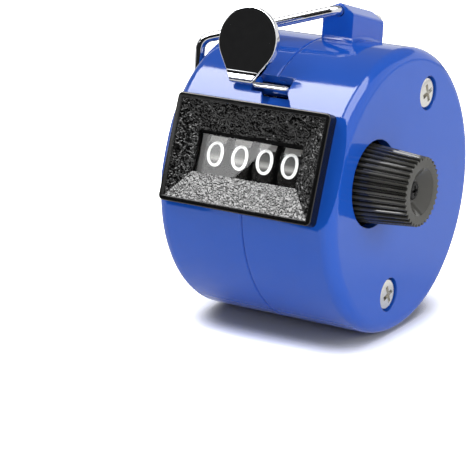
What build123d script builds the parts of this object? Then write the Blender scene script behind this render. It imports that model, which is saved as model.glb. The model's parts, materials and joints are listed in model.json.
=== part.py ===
from build123d import *
import math
import os

os.makedirs("parts", exist_ok=True)

# A hand tally counter: barrel on its side, axis along X, knob at +X.
# The origin is in the foot that it stands on, where the two halves meet. The front looks to -Y and +Z is up.
# Lengths are in mm, angles in degrees.

# Barrel
BARREL_R = 22.5
HALF_LENGTH = 15.7
END_ROUND = 2.2
WALL = 1.8
SEAM_CHAMFER = 0.2
FRONT_TILT = 21.0
FLAT_CUT = 1.6
FLAT_DIST = BARREL_R - FLAT_CUT
FOOT_DEPTH = 0.25
TONGUE_LENGTH = 1.0
TONGUE_THICK = 0.8
TONGUE_FIT = 0.05
OVERRUN = 2.0

# Bezel and window
BEZEL_X = -0.47
BEZEL_IN = 2.2
BEZEL_W = 2 * (HALF_LENGTH - BEZEL_IN)
BEZEL_H = 16.9
BEZEL_CORNER = 0.8
BEZEL_PROUD = 2.0
BEZEL_LIP = 1.0
BEZEL_LIP_HIGH = 0.3
BEZEL_EDGE_ROUND = 0.25
WINDOW_UP = 0.6
WINDOW_DIST = FLAT_DIST + WINDOW_UP
BEZEL_LAP_W = 2.8
BEZEL_LAP_H = 3.7
PLUG_W = BEZEL_W - 2 * BEZEL_LAP_W
PLUG_H = BEZEL_H - 2 * BEZEL_LAP_H
PLUG_DEPTH = 1.3
PLUG_FIT = 0.05
LENS_SEAT = 1.0
LENS_W = PLUG_W - 2 * LENS_SEAT
LENS_H = PLUG_H - 2 * LENS_SEAT
LENS_THICK = 1.1
LENS_FIT = 0.03
WINDOW_LAP = 0.5
WINDOW_W = LENS_W - 2 * WINDOW_LAP
WINDOW_H = LENS_H - 2 * WINDOW_LAP

# Places of the side plates along the barrel
PLATE_THICK = 1.0
PLATE_LEFT_GAP = 1.4
PLATE_LEFT_X = WALL + PLATE_LEFT_GAP - HALF_LENGTH
PLATE_RIGHT_IN = 6.7
PLATE_RIGHT_X = HALF_LENGTH - PLATE_RIGHT_IN

# Counting wheels
WHEEL_COUNT = 4
WHEEL_SIDE_ROOM = 2.78
WHEEL_PITCH = (PLATE_RIGHT_X - PLATE_LEFT_X - PLATE_THICK - WHEEL_SIDE_ROOM) / WHEEL_COUNT
WHEEL_SHIFT = 0.1
WHEEL_STACK_X = (PLATE_LEFT_X + PLATE_THICK + PLATE_RIGHT_X) / 2 - WHEEL_SHIFT
WHEEL_SPACE = 0.14
WHEEL_W = WHEEL_PITCH - WHEEL_SPACE
WHEEL_R = 8.8
WHEEL_GAP = 0.6
WHEEL_AXIS_DIST = FLAT_DIST - LENS_THICK - WHEEL_GAP - WHEEL_R
RIM_THICK = 0.9
RIM_SETBACK = 0.89
RIM_W = WHEEL_W - RIM_SETBACK
WEB_THICK = 0.9
HUB_R = 3.2
BOSS_R = 5.0
RATCHET_R = 7.2
RATCHET_ROOT = 5.9
RATCHET_DEEP = 5.2
RATCHET_W = 0.5
RATCHET_TEETH = 10

# Shaft and its bearings
SHAFT_R = 2.0
RUN_FIT = 0.05
SHAFT_OVERHANG = 1.1
SHAFT_LEFT = PLATE_LEFT_X - SHAFT_OVERHANG
SHAFT_RIGHT_IN = 3.7
SHAFT_RIGHT = HALF_LENGTH - SHAFT_RIGHT_IN
SHAFT_END_R = 1.8
SHAFT_FLAT = 1.3
SHAFT_TIP_OUT = 3.8
SHAFT_TIP = HALF_LENGTH + SHAFT_TIP_OUT
GROOVE_W = 0.9
GROOVE_DEPTH = 0.6
CLIP_SETBACK = 0.25
CLIP_X = SHAFT_LEFT + CLIP_SETBACK
CLIP_THICK = 0.4
CLIP_R = 3.2
CLIP_GROOVE_R = 1.5
CLIP_MOUTH = 2.6
BUSH_R = 2.9
BUSH_FLANGE_R = 3.6
BUSH_FLANGE = 0.4
BUSH_NOSE = 1.7
COLLAR_R = 3.0
COLLAR_GAP = 0.1

# Side plates
PLATE_GAP = 0.8
PLATE_R = BARREL_R - WALL - PLATE_GAP
PLATE_FLAT_GAP = 0.5
PLATE_FLAT = FLAT_DIST - WALL - PLATE_FLAT_GAP
PLATE_WINDOW_R = 6.0
PLATE_WINDOW_M = 9.0
TIE_R = 1.3
TIE_END_R = 0.8
TIE_FRONT_IN = 1.46
TIE_FRONT_ANGLE = 216.6
TIE_REAR_IN = 4.9
TIE_REAR_ANGLE = 30.0

# Screws and posts
SCREW_M = 1.45
SCREW_IN = 6.5
SCREW_U = BARREL_R - SCREW_IN
POST_R = 2.3
POST_BASE_R = 3.2
POST_FIT = 0.05
POST_END_IN = 5.8
POST_END = HALF_LENGTH - POST_END_IN
PILOT_DEPTH = 7.0
SCREW_R = 1.0
SCREW_HOLE_R = 1.1
SCREW_HEAD_R = 2.45
SCREW_HEAD_HIGH = 1.2
SCREW_DOME = 0.35
SCREW_RUN = 5.9
SCREW_TIP_X = POST_END - SCREW_RUN
SINK_R = 2.7
SINK_DEPTH = 1.3
CROSS_W = 0.55
CROSS_L = 2.4
CROSS_DEPTH = 0.8

# Thumb lever
PIVOT_UP = 0.5
PIVOT_U = WHEEL_R + PIVOT_UP
PIVOT_IN = 4.08
PIVOT_M = -math.sqrt((BARREL_R - PIVOT_IN) ** 2 - PIVOT_U**2)
PIVOT_R = 0.9
LEVER_HUB_R = 1.6
LEVER_FIT = 0.05
LEVER_SHEET = 1.15
ARM_LAG = 0.32
ARM_ANGLE = math.degrees(math.atan2(PIVOT_U, -PIVOT_M)) - ARM_LAG
ARM_RIGHT = 3.1
ARM_LEFT = -2.9
BEND_UP = 1.0
BEND_R = BARREL_R + BEND_UP
ARM_SHORT = 0.25
ARM_TOP = BEND_R - ARM_SHORT
TAB_IN = 8.85
TAB_LEFT = TAB_IN - HALF_LENGTH
TAB_RIGHT = -2.6
TAB_DEEP = 0.55
TAB_LOW = BEND_R - TAB_DEEP
TAB_SHALLOW = 0.3
TAB_LOW_END = BEND_R - TAB_SHALLOW
DISC_LEAN = 15.0
DISC_IN = 11.2
DISC_X = DISC_IN - HALF_LENGTH
DISC_UP = 6.05
DISC_R = 5.15
DISC_EDGE = 0.2
CHEEK_THICK = 1.0
CHEEK_GAP = 0.2
CHEEK_R = 1.8

# Slot for the lever, as angles from the front's middle line up round the barrel
SLOT_LEFT = -3.2
SLOT_RIGHT = 3.1
SLOT_BELOW = 2.4
SLOT_LOW = ARM_ANGLE - SLOT_BELOW
SLOT_ABOVE = 6.2
SLOT_HIGH = ARM_ANGLE + SLOT_ABOVE
RELIEF_DEPTH = 1.0
RELIEF_RUN = 2.4
RELIEF_LEFT = -1.4
RELIEF_FLARE_LEFT = 1.2
RELIEF_FLARE_RIGHT = 2.0

# Pawl comb and its pin
PAWL_BEHIND = 12.4
PAWL_M = PAWL_BEHIND - WHEEL_AXIS_DIST
PAWL_U = 7.5
PAWL_PIN_R = 0.8
PAWL_HUB_R = 1.35
PAWL_END_GAP = 0.12
FINGER_W = 0.45
FINGER_TIP_R = 0.25
FINGER_ROOT_R = 0.9
PAWL_TIP_DIST = 7.85
PAWL_TIP_ANGLE = -15.0

# Detent comb and its rod
DETENT_AHEAD = 4.45
DETENT_M = SCREW_M - DETENT_AHEAD
DETENT_U = -12.5
DETENT_ROD_R = 0.9
DETENT_HUB_R = 1.5
DETENT_TIP_DIST = 7.6
DETENT_TIP_ANGLE = -80.0

# Springs
SPRING_WIRE_R = 0.22
SPRING_TURNS = 2.5
SPRING_PITCH = 0.55
RETURN_SPRING_OUT = 1.6
RETURN_SPRING_X = PLATE_RIGHT_X + RETURN_SPRING_OUT
RETURN_SPRING_R = 1.35
RETURN_LEG = 3.0
RETURN_TURN = 0.0
PIVOT_END_OUT = 4.0
PIVOT_END_X = PLATE_RIGHT_X + PIVOT_END_OUT
PAWL_SPRING_STEP = 1.01
PAWL_SPRING_X = WHEEL_STACK_X - (WHEEL_PITCH + WHEEL_W) / 2 + PAWL_SPRING_STEP
PAWL_SPRING_R = 1.65
PAWL_LEG = 3.0
PAWL_TURN = 0.0

# Reset knob
KNOB_ROOT_X = SHAFT_RIGHT
KNOB_RIDGE_IN = 1.7
KNOB_RIDGE_X = HALF_LENGTH - KNOB_RIDGE_IN
KNOB_END_OUT = 8.15
KNOB_END_X = HALF_LENGTH + KNOB_END_OUT
KNOB_R = 6.15
KNOB_END_R = 5.3
KNOB_STEM_R = 5.6
KNOB_RIDGES = 36
KNOB_RIDGE_DEPTH = 0.28
KNOB_HOLE_R = 6.8
KNOB_CUP_R = 3.65
KNOB_CUP_FLOOR_R = 2.0
KNOB_CUP_DEPTH = 2.0
KNOB_CORE_R = 2.9
KNOB_SKIN_R = 4.5
KNOB_CORE_DEPTH = 8.0
KNOB_SCREW_R = 0.7
KNOB_SCREW_HEAD_R = 1.4
KNOB_SCREW_HEAD = 0.8
KNOB_SCREW_RUN = 3.5
KNOB_SCREW_TIP_X = SHAFT_TIP - KNOB_SCREW_RUN

# Lug and finger ring
LUG_W = 5.4
LUG_FRONT_Y = 0.6
LUG_FRONT_TOP_Y = 1.6
LUG_REAR_IN = 12.1
LUG_REAR_Y = BARREL_R - LUG_REAR_IN
LUG_REAR_LEAN = 0.8
LUG_REAR_TOP_Y = LUG_REAR_Y + LUG_REAR_LEAN
LUG_SINK = 1.2
LUG_REAR_LOW = math.sqrt(BARREL_R**2 - LUG_REAR_Y**2) - WALL
LUG_TOP = 6.5
LUG_REAR_TOP = 3.5
LUG_SLOPE = 17.0
LUG_RIDGE_X = 3.0
LUG_ROOF_LEFT = 3.8
LUG_ROOF_RIDGE = 5.0
LUG_ROOF_RIGHT = 3.55
LUG_EDGE_ROUND = 0.6
LUG_FOOT_ROUND = 0.8
LUG_FOOT_REACH = 0.2
RING_SLOPE = 16.0
RING_WIRE_R = 0.8
RING_HOLE_R = 0.85
RING_X = 2.83
RING_Y = 0.32
RING_UP = 4.77
RING_Z = BARREL_R + RING_UP
RING_SPAN_IN = 8.3
RING_SPAN = BARREL_R - RING_SPAN_IN
RING_END = 5.0
RING_DROP = 20.2
RING_FLARE = 15.0
RING_LEG_OUT = 6.5
RING_LEG = HALF_LENGTH + RING_LEG_OUT
RING_SIDE = 7.0
RING_TAPER = 8.0
RING_SIDE_IN = 1.2
RING_TAPER_IN = 5.0
RING_BEND = 2.2
RING_HINGE_BEND = 1.2
RING_APEX_BEND = 5.0


# Middle of the barrel at the seam, above the foot
axis_high = BARREL_R - FOOT_DEPTH
centre = Vector(0, 0, axis_high)


def inward():
    """Direction square to the front flat, pointing into the barrel."""
    return Vector(0, 1, 0).rotate(Axis.X, -FRONT_TILT)


def side_plane(x):
    """Plane across the barrel at x: its x runs inward from the front flat, its y up along it."""
    return Plane(origin=centre + Vector(x, 0, 0), x_dir=inward(), z_dir=(1, 0, 0))


def front_plane(distance):
    """Plane along the front flat, at a distance in front of the barrel axis; its y runs up the flat."""
    return Plane(origin=centre + inward() * -distance, x_dir=(1, 0, 0), z_dir=inward() * -1)


def radial(angle):
    """Direction out from the barrel axis, an angle up round from the front's middle line."""
    return (inward() * -1).rotate(Axis.X, -angle)


def polar(radius, angle):
    """Point at a radius and angle, as a pair."""
    return (radius * math.cos(math.radians(angle)), radius * math.sin(math.radians(angle)))


def tie_places():
    """Middle of each tie bar on the side plates: one at the front below, two at the rear."""
    front = polar(PLATE_R - TIE_FRONT_IN, TIE_FRONT_ANGLE)
    rear = [polar(PLATE_R - TIE_REAR_IN, side * TIE_REAR_ANGLE) for side in (-1, 1)]
    return [front, *rear]


def wheel_places():
    """Middle of each counting wheel along the barrel, from the left."""
    return [WHEEL_STACK_X + WHEEL_PITCH * (place - (WHEEL_COUNT - 1) / 2) for place in range(WHEEL_COUNT)]


def finger_starts():
    """Left face of the pawl and detent finger that works on each wheel."""
    inset = (RATCHET_W - FINGER_W) / 2
    return [place - WHEEL_W / 2 + inset for place in wheel_places()]


def disc_between(radius, x_low, x_high, m=0, u=0, mode=Mode.ADD):
    """Round bar across the barrel between two places along it, round the point (m, u)."""
    with BuildSketch(side_plane(x_low)) as outline:
        with Locations((m, u)):
            Circle(radius)
    extrude(outline.sketch, amount=x_high - x_low, mode=mode)


def shaft_disc(radius, x_low, x_high, mode=Mode.ADD):
    """Round bar on the axis of the counting wheels."""
    disc_between(radius, x_low, x_high, m=-WHEEL_AXIS_DIST, mode=mode)


def barrel_outside(side):
    """Solid half barrel with its rounded end; side is 1 for the right half, -1 for the left."""
    with BuildSketch(Plane.XY.offset(axis_high)) as profile:
        with BuildLine():
            seam = (0, BARREL_R - SEAM_CHAMFER)
            edge = (side * SEAM_CHAMFER, BARREL_R)
            round_start = (side * (HALF_LENGTH - END_ROUND), BARREL_R)
            round_end = (side * HALF_LENGTH, BARREL_R - END_ROUND)
            Polyline((0, 0), seam, edge, round_start)
            RadiusArc(round_start, round_end, side * END_ROUND)
            Polyline(round_end, (side * HALF_LENGTH, 0), (0, 0))
        make_face()
    revolve(profile.sketch, axis=Axis(centre, (1, 0, 0)))


def cut_hollow(side):
    """Takes out the room for the mechanism, flat behind the front flat."""
    with BuildSketch(side_plane(0)) as room:
        Circle(BARREL_R - WALL)
        with Locations((WALL - FLAT_DIST, 0)):
            Rectangle(BARREL_R, 2 * BARREL_R, align=(Align.MAX, Align.CENTER), mode=Mode.SUBTRACT)
    extrude(room.sketch, amount=side * (HALF_LENGTH - WALL), mode=Mode.SUBTRACT)


def seam_ring(fit, x_low, x_high, mode):
    """Thin ring inside the wall at the seam, open at the front flat: the tongue, or its rebate."""
    with BuildSketch(side_plane(x_low)) as ring:
        Circle(BARREL_R - WALL + TONGUE_THICK + fit)
        Circle(BARREL_R - WALL - fit, mode=Mode.SUBTRACT)
        with Locations((WALL - FLAT_DIST, 0)):
            Rectangle(BARREL_R, 2 * BARREL_R, align=(Align.MAX, Align.CENTER), mode=Mode.SUBTRACT)
    extrude(ring.sketch, amount=x_high - x_low, mode=mode)


def cut_outside_flats():
    """Takes off the front flat and the narrow foot that the counter stands on."""
    with BuildSketch(side_plane(-BARREL_R)) as front:
        with Locations((-FLAT_DIST, 0)):
            Rectangle(BARREL_R, 2 * BARREL_R, align=(Align.MAX, Align.CENTER))
    extrude(front.sketch, amount=2 * BARREL_R, mode=Mode.SUBTRACT)
    with BuildSketch(Plane.XY) as foot:
        Rectangle(2 * BARREL_R, 2 * BARREL_R)
    extrude(foot.sketch, amount=-OVERRUN, mode=Mode.SUBTRACT)


def cut_window():
    """Takes out the hole that the plug of the bezel sits in."""
    with BuildSketch(front_plane(FLAT_DIST + OVERRUN)) as hole:
        with Locations((BEZEL_X, 0)):
            Rectangle(PLUG_W + 2 * PLUG_FIT, PLUG_H + 2 * PLUG_FIT)
    extrude(hole.sketch, amount=-OVERRUN * 2 - WALL, mode=Mode.SUBTRACT)


def cut_slot():
    """Takes out the lever's slot and the shallow relief in front of it."""
    middle = (SLOT_LOW + SLOT_HIGH) / 2
    height = 2 * BARREL_R * math.sin(math.radians((SLOT_HIGH - SLOT_LOW) / 2))
    out = radial(middle)
    with BuildSketch(Plane(origin=centre + out * BARREL_R, x_dir=(1, 0, 0), z_dir=out)) as slot:
        with Locations(((SLOT_LEFT + SLOT_RIGHT) / 2, 0)):
            Rectangle(SLOT_RIGHT - SLOT_LEFT, height)
    extrude(slot.sketch, amount=WALL + OVERRUN, both=True, mode=Mode.SUBTRACT)
    out = radial(SLOT_LOW)
    with BuildSketch(Plane(origin=centre + out * (BARREL_R - RELIEF_DEPTH), x_dir=(1, 0, 0), z_dir=out)) as relief:
        with BuildLine():
            flare_left = RELIEF_LEFT + RELIEF_FLARE_LEFT
            flare_right = SLOT_RIGHT + RELIEF_FLARE_RIGHT
            top = RELIEF_DEPTH / 2
            Polyline(
                (RELIEF_LEFT, top),
                (flare_left, -RELIEF_RUN),
                (flare_right, -RELIEF_RUN),
                (SLOT_RIGHT, top),
                close=True,
            )
        make_face()
    extrude(relief.sketch, amount=OVERRUN, mode=Mode.SUBTRACT)


# Lug for the finger ring: a leaning block under a ridged roof, fused to the right half
roof_slope = Vector(0, 1, 0).rotate(Axis.X, -LUG_SLOPE)
ring_axis = Vector(0, 1, 0).rotate(Axis.X, -RING_SLOPE)
ring_up = Vector(0, 0, 1).rotate(Axis.X, -RING_SLOPE)
ring_corner = centre + Vector(RING_X, RING_Y, RING_Z)

with BuildPart() as lug:
    with BuildSketch(Plane(origin=centre, x_dir=(0, 1, 0), z_dir=(1, 0, 0))) as lug_side:
        with BuildLine():
            Polyline(
                (LUG_FRONT_Y, BARREL_R - LUG_SINK),
                (LUG_FRONT_TOP_Y, BARREL_R + LUG_TOP),
                (LUG_REAR_TOP_Y, BARREL_R + LUG_REAR_TOP),
                (LUG_REAR_Y, LUG_REAR_LOW),
                close=True,
            )
        make_face()
    extrude(amount=LUG_W)
    with BuildSketch(Plane(origin=centre, x_dir=(1, 0, 0), z_dir=roof_slope * -1)) as lug_roof:
        with BuildLine():
            Polyline(
                (0, 0),
                (0, BARREL_R + LUG_ROOF_LEFT),
                (LUG_RIDGE_X, BARREL_R + LUG_ROOF_RIDGE),
                (LUG_W, BARREL_R + LUG_ROOF_RIGHT),
                (LUG_W, 0),
                close=True,
            )
        make_face()
    extrude(amount=BARREL_R, both=True, mode=Mode.INTERSECT)
    roof_edges = lug.edges().filter_by(Axis((0, 0, 0), tuple(roof_slope)))
    fillet(roof_edges, radius=LUG_EDGE_ROUND)
    with BuildSketch(Plane(origin=ring_corner, x_dir=(1, 0, 0), z_dir=ring_axis)) as lug_hole:
        Circle(RING_HOLE_R)
    extrude(amount=BARREL_R, mode=Mode.SUBTRACT)

# Right half of the casing
plate_right_outer = PLATE_RIGHT_X + PLATE_THICK
with BuildPart() as casing_right:
    barrel_outside(1)
    add(lug.part)
    foot_edges = casing_right.edges().filter_by(
        lambda edge: LUG_REAR_LOW < (edge.center() - centre).Z < BARREL_R + LUG_FOOT_REACH
        and LUG_FOOT_REACH < edge.center().X <= LUG_W + LUG_FOOT_REACH
        and abs((edge.center() - centre).cross(Vector(1, 0, 0)).length - BARREL_R) < LUG_FOOT_REACH
    )
    fillet(foot_edges, radius=LUG_FOOT_ROUND)
    cut_hollow(1)
    for side in (-1, 1):
        disc_between(POST_BASE_R, plate_right_outer, HALF_LENGTH - WALL, SCREW_M, side * SCREW_U)
        disc_between(SCREW_HOLE_R, 0, HALF_LENGTH, SCREW_M, side * SCREW_U, Mode.SUBTRACT)
        disc_between(SINK_R, HALF_LENGTH - SINK_DEPTH, HALF_LENGTH, SCREW_M, side * SCREW_U, Mode.SUBTRACT)
    shaft_disc(KNOB_HOLE_R, plate_right_outer, HALF_LENGTH, Mode.SUBTRACT)
    cut_outside_flats()
    seam_ring(TONGUE_FIT, -OVERRUN, TONGUE_LENGTH + TONGUE_FIT, Mode.SUBTRACT)
    cut_window()
    cut_slot()
casing_right.part.label = "casing_right"
export_step(casing_right.part, "parts/casing_right.step")

# Left half of the casing, with the tongue that enters the right half and the two screw posts
with BuildPart() as casing_left:
    barrel_outside(-1)
    cut_hollow(-1)
    for side in (-1, 1):
        disc_between(POST_BASE_R, WALL - HALF_LENGTH, PLATE_LEFT_X, SCREW_M, side * SCREW_U)
        disc_between(POST_R, PLATE_LEFT_X, POST_END, SCREW_M, side * SCREW_U)
        disc_between(SCREW_R, POST_END - PILOT_DEPTH, POST_END, SCREW_M, side * SCREW_U, Mode.SUBTRACT)
    cut_outside_flats()
    seam_ring(0, -TONGUE_LENGTH, TONGUE_LENGTH, Mode.ADD)
    cut_window()
    cut_slot()
casing_left.part.label = "casing_left"
export_step(casing_left.part, "parts/casing_left.step")

# Bezel: frame with a raised lip, four slopes down to the window, and a plug that fills the casing's hole
with BuildPart() as bezel:
    with BuildSketch(front_plane(FLAT_DIST)) as bezel_outline:
        with Locations((BEZEL_X, 0)):
            RectangleRounded(BEZEL_W, BEZEL_H, BEZEL_CORNER)
    extrude(amount=BEZEL_PROUD)
    face_rim = bezel.faces().sort_by(Axis((0, 0, 0), tuple(inward() * -1)))[-1]
    fillet(face_rim.edges(), radius=BEZEL_EDGE_ROUND)
    slope_w = BEZEL_W - 2 * BEZEL_LIP
    slope_h = BEZEL_H - 2 * BEZEL_LIP
    with BuildSketch(front_plane(FLAT_DIST + BEZEL_PROUD)) as lip_inside:
        with Locations((BEZEL_X, 0)):
            Rectangle(slope_w, slope_h)
    extrude(amount=-BEZEL_LIP_HIGH, mode=Mode.SUBTRACT)
    with BuildSketch(front_plane(FLAT_DIST + BEZEL_PROUD - BEZEL_LIP_HIGH)) as slope_top:
        with Locations((BEZEL_X, 0)):
            Rectangle(slope_w, slope_h)
    with BuildSketch(front_plane(WINDOW_DIST)) as slope_foot:
        with Locations((BEZEL_X, 0)):
            Rectangle(WINDOW_W, WINDOW_H)
    loft(mode=Mode.SUBTRACT)
    with BuildSketch(front_plane(FLAT_DIST)) as plug:
        with Locations((BEZEL_X, 0)):
            RectangleRounded(PLUG_W, PLUG_H, PLUG_FIT)
    extrude(amount=-PLUG_DEPTH)
    with BuildSketch(front_plane(FLAT_DIST)) as lens_seat:
        with Locations((BEZEL_X, 0)):
            Rectangle(LENS_W + 2 * LENS_FIT, LENS_H + 2 * LENS_FIT)
    extrude(amount=-PLUG_DEPTH, mode=Mode.SUBTRACT)
    with BuildSketch(front_plane(WINDOW_DIST)) as window:
        with Locations((BEZEL_X, 0)):
            Rectangle(WINDOW_W, WINDOW_H)
    extrude(amount=-PLUG_DEPTH, mode=Mode.SUBTRACT)
bezel.part.label = "bezel"
export_step(bezel.part, "parts/bezel.step")

# Lens, seated in the bezel from behind
with BuildPart() as lens:
    with BuildSketch(front_plane(FLAT_DIST)) as lens_outline:
        with Locations((BEZEL_X, 0)):
            Rectangle(LENS_W, LENS_H)
    extrude(amount=-LENS_THICK)
lens.part.label = "lens"
export_step(lens.part, "parts/lens.step")


def side_plate(x, bush_hole):
    """Side plate of the counting mechanism, seated on the two posts."""
    with BuildSketch(side_plane(x)) as outline:
        Circle(PLATE_R)
        with Locations((-PLATE_FLAT, 0)):
            Rectangle(BARREL_R, 2 * BARREL_R, align=(Align.MAX, Align.CENTER), mode=Mode.SUBTRACT)
        with Locations((SCREW_M, SCREW_U), (SCREW_M, -SCREW_U)):
            Circle(POST_R + POST_FIT, mode=Mode.SUBTRACT)
        with Locations((-WHEEL_AXIS_DIST, 0)):
            Circle(bush_hole, mode=Mode.SUBTRACT)
        with Locations((PIVOT_M, PIVOT_U)):
            Circle(PIVOT_R, mode=Mode.SUBTRACT)
        with Locations((DETENT_M, DETENT_U)):
            Circle(DETENT_ROD_R, mode=Mode.SUBTRACT)
        with Locations(*tie_places()):
            Circle(TIE_END_R, mode=Mode.SUBTRACT)
        with Locations((PLATE_WINDOW_M, 0)):
            Circle(PLATE_WINDOW_R, mode=Mode.SUBTRACT)
    extrude(outline.sketch, amount=PLATE_THICK)


# Side plates of the mechanism
with BuildPart() as frame_left:
    side_plate(PLATE_LEFT_X, BUSH_R)
frame_left.part.label = "frame_left"
export_step(frame_left.part, "parts/frame_left.step")

with BuildPart() as frame_right:
    side_plate(PLATE_RIGHT_X, BUSH_R)
frame_right.part.label = "frame_right"
export_step(frame_right.part, "parts/frame_right.step")

# Three tie bars, shouldered between the plates with their ends riveted through
plate_left_inner = PLATE_LEFT_X + PLATE_THICK
with BuildPart() as frame_spacers:
    for m, u in tie_places():
        disc_between(TIE_R, plate_left_inner, PLATE_RIGHT_X, m, u)
        disc_between(TIE_END_R, PLATE_LEFT_X, plate_right_outer, m, u)
frame_spacers.part.label = "frame_spacers"
export_step(frame_spacers.part, "parts/frame_spacers.step")

# Bearings of the shaft
with BuildPart() as shaft_bush_left:
    shaft_disc(BUSH_R, PLATE_LEFT_X, plate_left_inner)
    shaft_disc(BUSH_FLANGE_R, PLATE_LEFT_X - BUSH_FLANGE, PLATE_LEFT_X)
    shaft_disc(SHAFT_R + RUN_FIT, SHAFT_LEFT, SHAFT_RIGHT, Mode.SUBTRACT)
shaft_bush_left.part.label = "shaft_bush_left"
export_step(shaft_bush_left.part, "parts/shaft_bush_left.step")

with BuildPart() as shaft_bush_right:
    shaft_disc(BUSH_R, PLATE_RIGHT_X, plate_right_outer + BUSH_NOSE)
    shaft_disc(BUSH_FLANGE_R, plate_right_outer, plate_right_outer + BUSH_FLANGE)
    shaft_disc(SHAFT_R + RUN_FIT, SHAFT_LEFT, SHAFT_RIGHT, Mode.SUBTRACT)
shaft_bush_right.part.label = "shaft_bush_right"
export_step(shaft_bush_right.part, "parts/shaft_bush_right.step")

# Shaft of the wheels, with the long groove that picks them up, and a flatted end for the knob
stack_left = wheel_places()[0] - WHEEL_W / 2
stack_right = wheel_places()[-1] + WHEEL_W / 2
with BuildPart() as reset_shaft:
    shaft_disc(SHAFT_R, SHAFT_LEFT, SHAFT_RIGHT)
    with BuildSketch(side_plane(SHAFT_RIGHT)) as flatted:
        with Locations((-WHEEL_AXIS_DIST, 0)):
            Circle(SHAFT_END_R)
        with Locations((-WHEEL_AXIS_DIST, SHAFT_FLAT)):
            Rectangle(2 * SHAFT_R, SHAFT_R, align=(Align.CENTER, Align.MIN), mode=Mode.SUBTRACT)
    extrude(amount=SHAFT_TIP - SHAFT_RIGHT)
    with BuildSketch(side_plane(stack_left)) as groove:
        with Locations((-WHEEL_AXIS_DIST, SHAFT_R)):
            Rectangle(GROOVE_W, 2 * GROOVE_DEPTH)
    extrude(amount=stack_right - stack_left, mode=Mode.SUBTRACT)
    with BuildSketch(side_plane(CLIP_X)) as clip_groove:
        with Locations((-WHEEL_AXIS_DIST, 0)):
            Circle(SHAFT_R)
            Circle(CLIP_GROOVE_R, mode=Mode.SUBTRACT)
    extrude(amount=CLIP_THICK, mode=Mode.SUBTRACT)
    shaft_disc(KNOB_SCREW_R, KNOB_SCREW_TIP_X, SHAFT_TIP, Mode.SUBTRACT)
reset_shaft.part.label = "reset_shaft"
export_step(reset_shaft.part, "parts/reset_shaft.step")

# Spring clip in the shaft's left groove
with BuildPart() as shaft_clip:
    with BuildSketch(side_plane(CLIP_X)) as clip_outline:
        with Locations((-WHEEL_AXIS_DIST, 0)):
            Circle(CLIP_R)
            Circle(CLIP_GROOVE_R, mode=Mode.SUBTRACT)
            Rectangle(CLIP_MOUTH, CLIP_R, align=(Align.CENTER, Align.MAX), mode=Mode.SUBTRACT)
    extrude(amount=CLIP_THICK)
shaft_clip.part.label = "shaft_clip"
export_step(shaft_clip.part, "parts/shaft_clip.step")

# Two collars that hold the wheels sideways
with BuildPart() as shaft_collars:
    shaft_disc(COLLAR_R, plate_left_inner + COLLAR_GAP, stack_left - COLLAR_GAP)
    shaft_disc(COLLAR_R, stack_right + COLLAR_GAP, PLATE_RIGHT_X - COLLAR_GAP)
    shaft_disc(SHAFT_R, SHAFT_LEFT, SHAFT_RIGHT, Mode.SUBTRACT)
shaft_collars.part.label = "shaft_collars"
export_step(shaft_collars.part, "parts/shaft_collars.step")


def ratchet_outline(deep):
    """Sawtooth outline of a ratchet; a deep ratchet has one notch that lets the next finger drop."""
    step = 360 / RATCHET_TEETH
    with BuildSketch(Plane.XY) as saw:
        with BuildLine():
            points = []
            for tooth in range(RATCHET_TEETH):
                root = RATCHET_DEEP if deep and tooth == 0 else RATCHET_ROOT
                points.append(polar(RATCHET_R, PAWL_TIP_ANGLE - tooth * step))
                points.append(polar(root, PAWL_TIP_ANGLE - tooth * step))
            Polyline(*points, close=True)
        make_face()
    return saw.sketch


def number_wheel(place, deep):
    """Counting wheel: hollow rim, web and hub, with its ratchet on the left."""
    low = place - WHEEL_W / 2
    high = place + WHEEL_W / 2
    rim_low = high - RIM_W
    shaft_disc(WHEEL_R, rim_low, high)
    shaft_disc(WHEEL_R - RIM_THICK, rim_low + WEB_THICK, high, Mode.SUBTRACT)
    shaft_disc(HUB_R, rim_low, high)
    shaft_disc(BOSS_R, low + RATCHET_W, rim_low)
    with Locations(side_plane(low).location * Location((-WHEEL_AXIS_DIST, 0, 0))):
        add(extrude(ratchet_outline(deep), amount=RATCHET_W, mode=Mode.PRIVATE))
    shaft_disc(SHAFT_R + RUN_FIT, low, high, Mode.SUBTRACT)
    rim_edges = edges().filter_by(GeomType.CIRCLE).group_by(SortBy.RADIUS)[-1]
    chamfer(rim_edges, length=RUN_FIT)


wheel_x = wheel_places()

with BuildPart() as number_wheel_thousands:
    number_wheel(wheel_x[0], False)
number_wheel_thousands.part.label = "number_wheel_thousands"
export_step(number_wheel_thousands.part, "parts/number_wheel_thousands.step")

with BuildPart() as number_wheel_hundreds:
    number_wheel(wheel_x[1], True)
number_wheel_hundreds.part.label = "number_wheel_hundreds"
export_step(number_wheel_hundreds.part, "parts/number_wheel_hundreds.step")

with BuildPart() as number_wheel_tens:
    number_wheel(wheel_x[2], True)
number_wheel_tens.part.label = "number_wheel_tens"
export_step(number_wheel_tens.part, "parts/number_wheel_tens.step")

with BuildPart() as number_wheel_units:
    number_wheel(wheel_x[3], True)
number_wheel_units.part.label = "number_wheel_units"
export_step(number_wheel_units.part, "parts/number_wheel_units.step")

# Pin that the lever turns on
with BuildPart() as lever_pivot:
    disc_between(PIVOT_R, PLATE_LEFT_X, PIVOT_END_X, PIVOT_M, PIVOT_U)
lever_pivot.part.label = "lever_pivot"
export_step(lever_pivot.part, "parts/lever_pivot.step")

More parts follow.
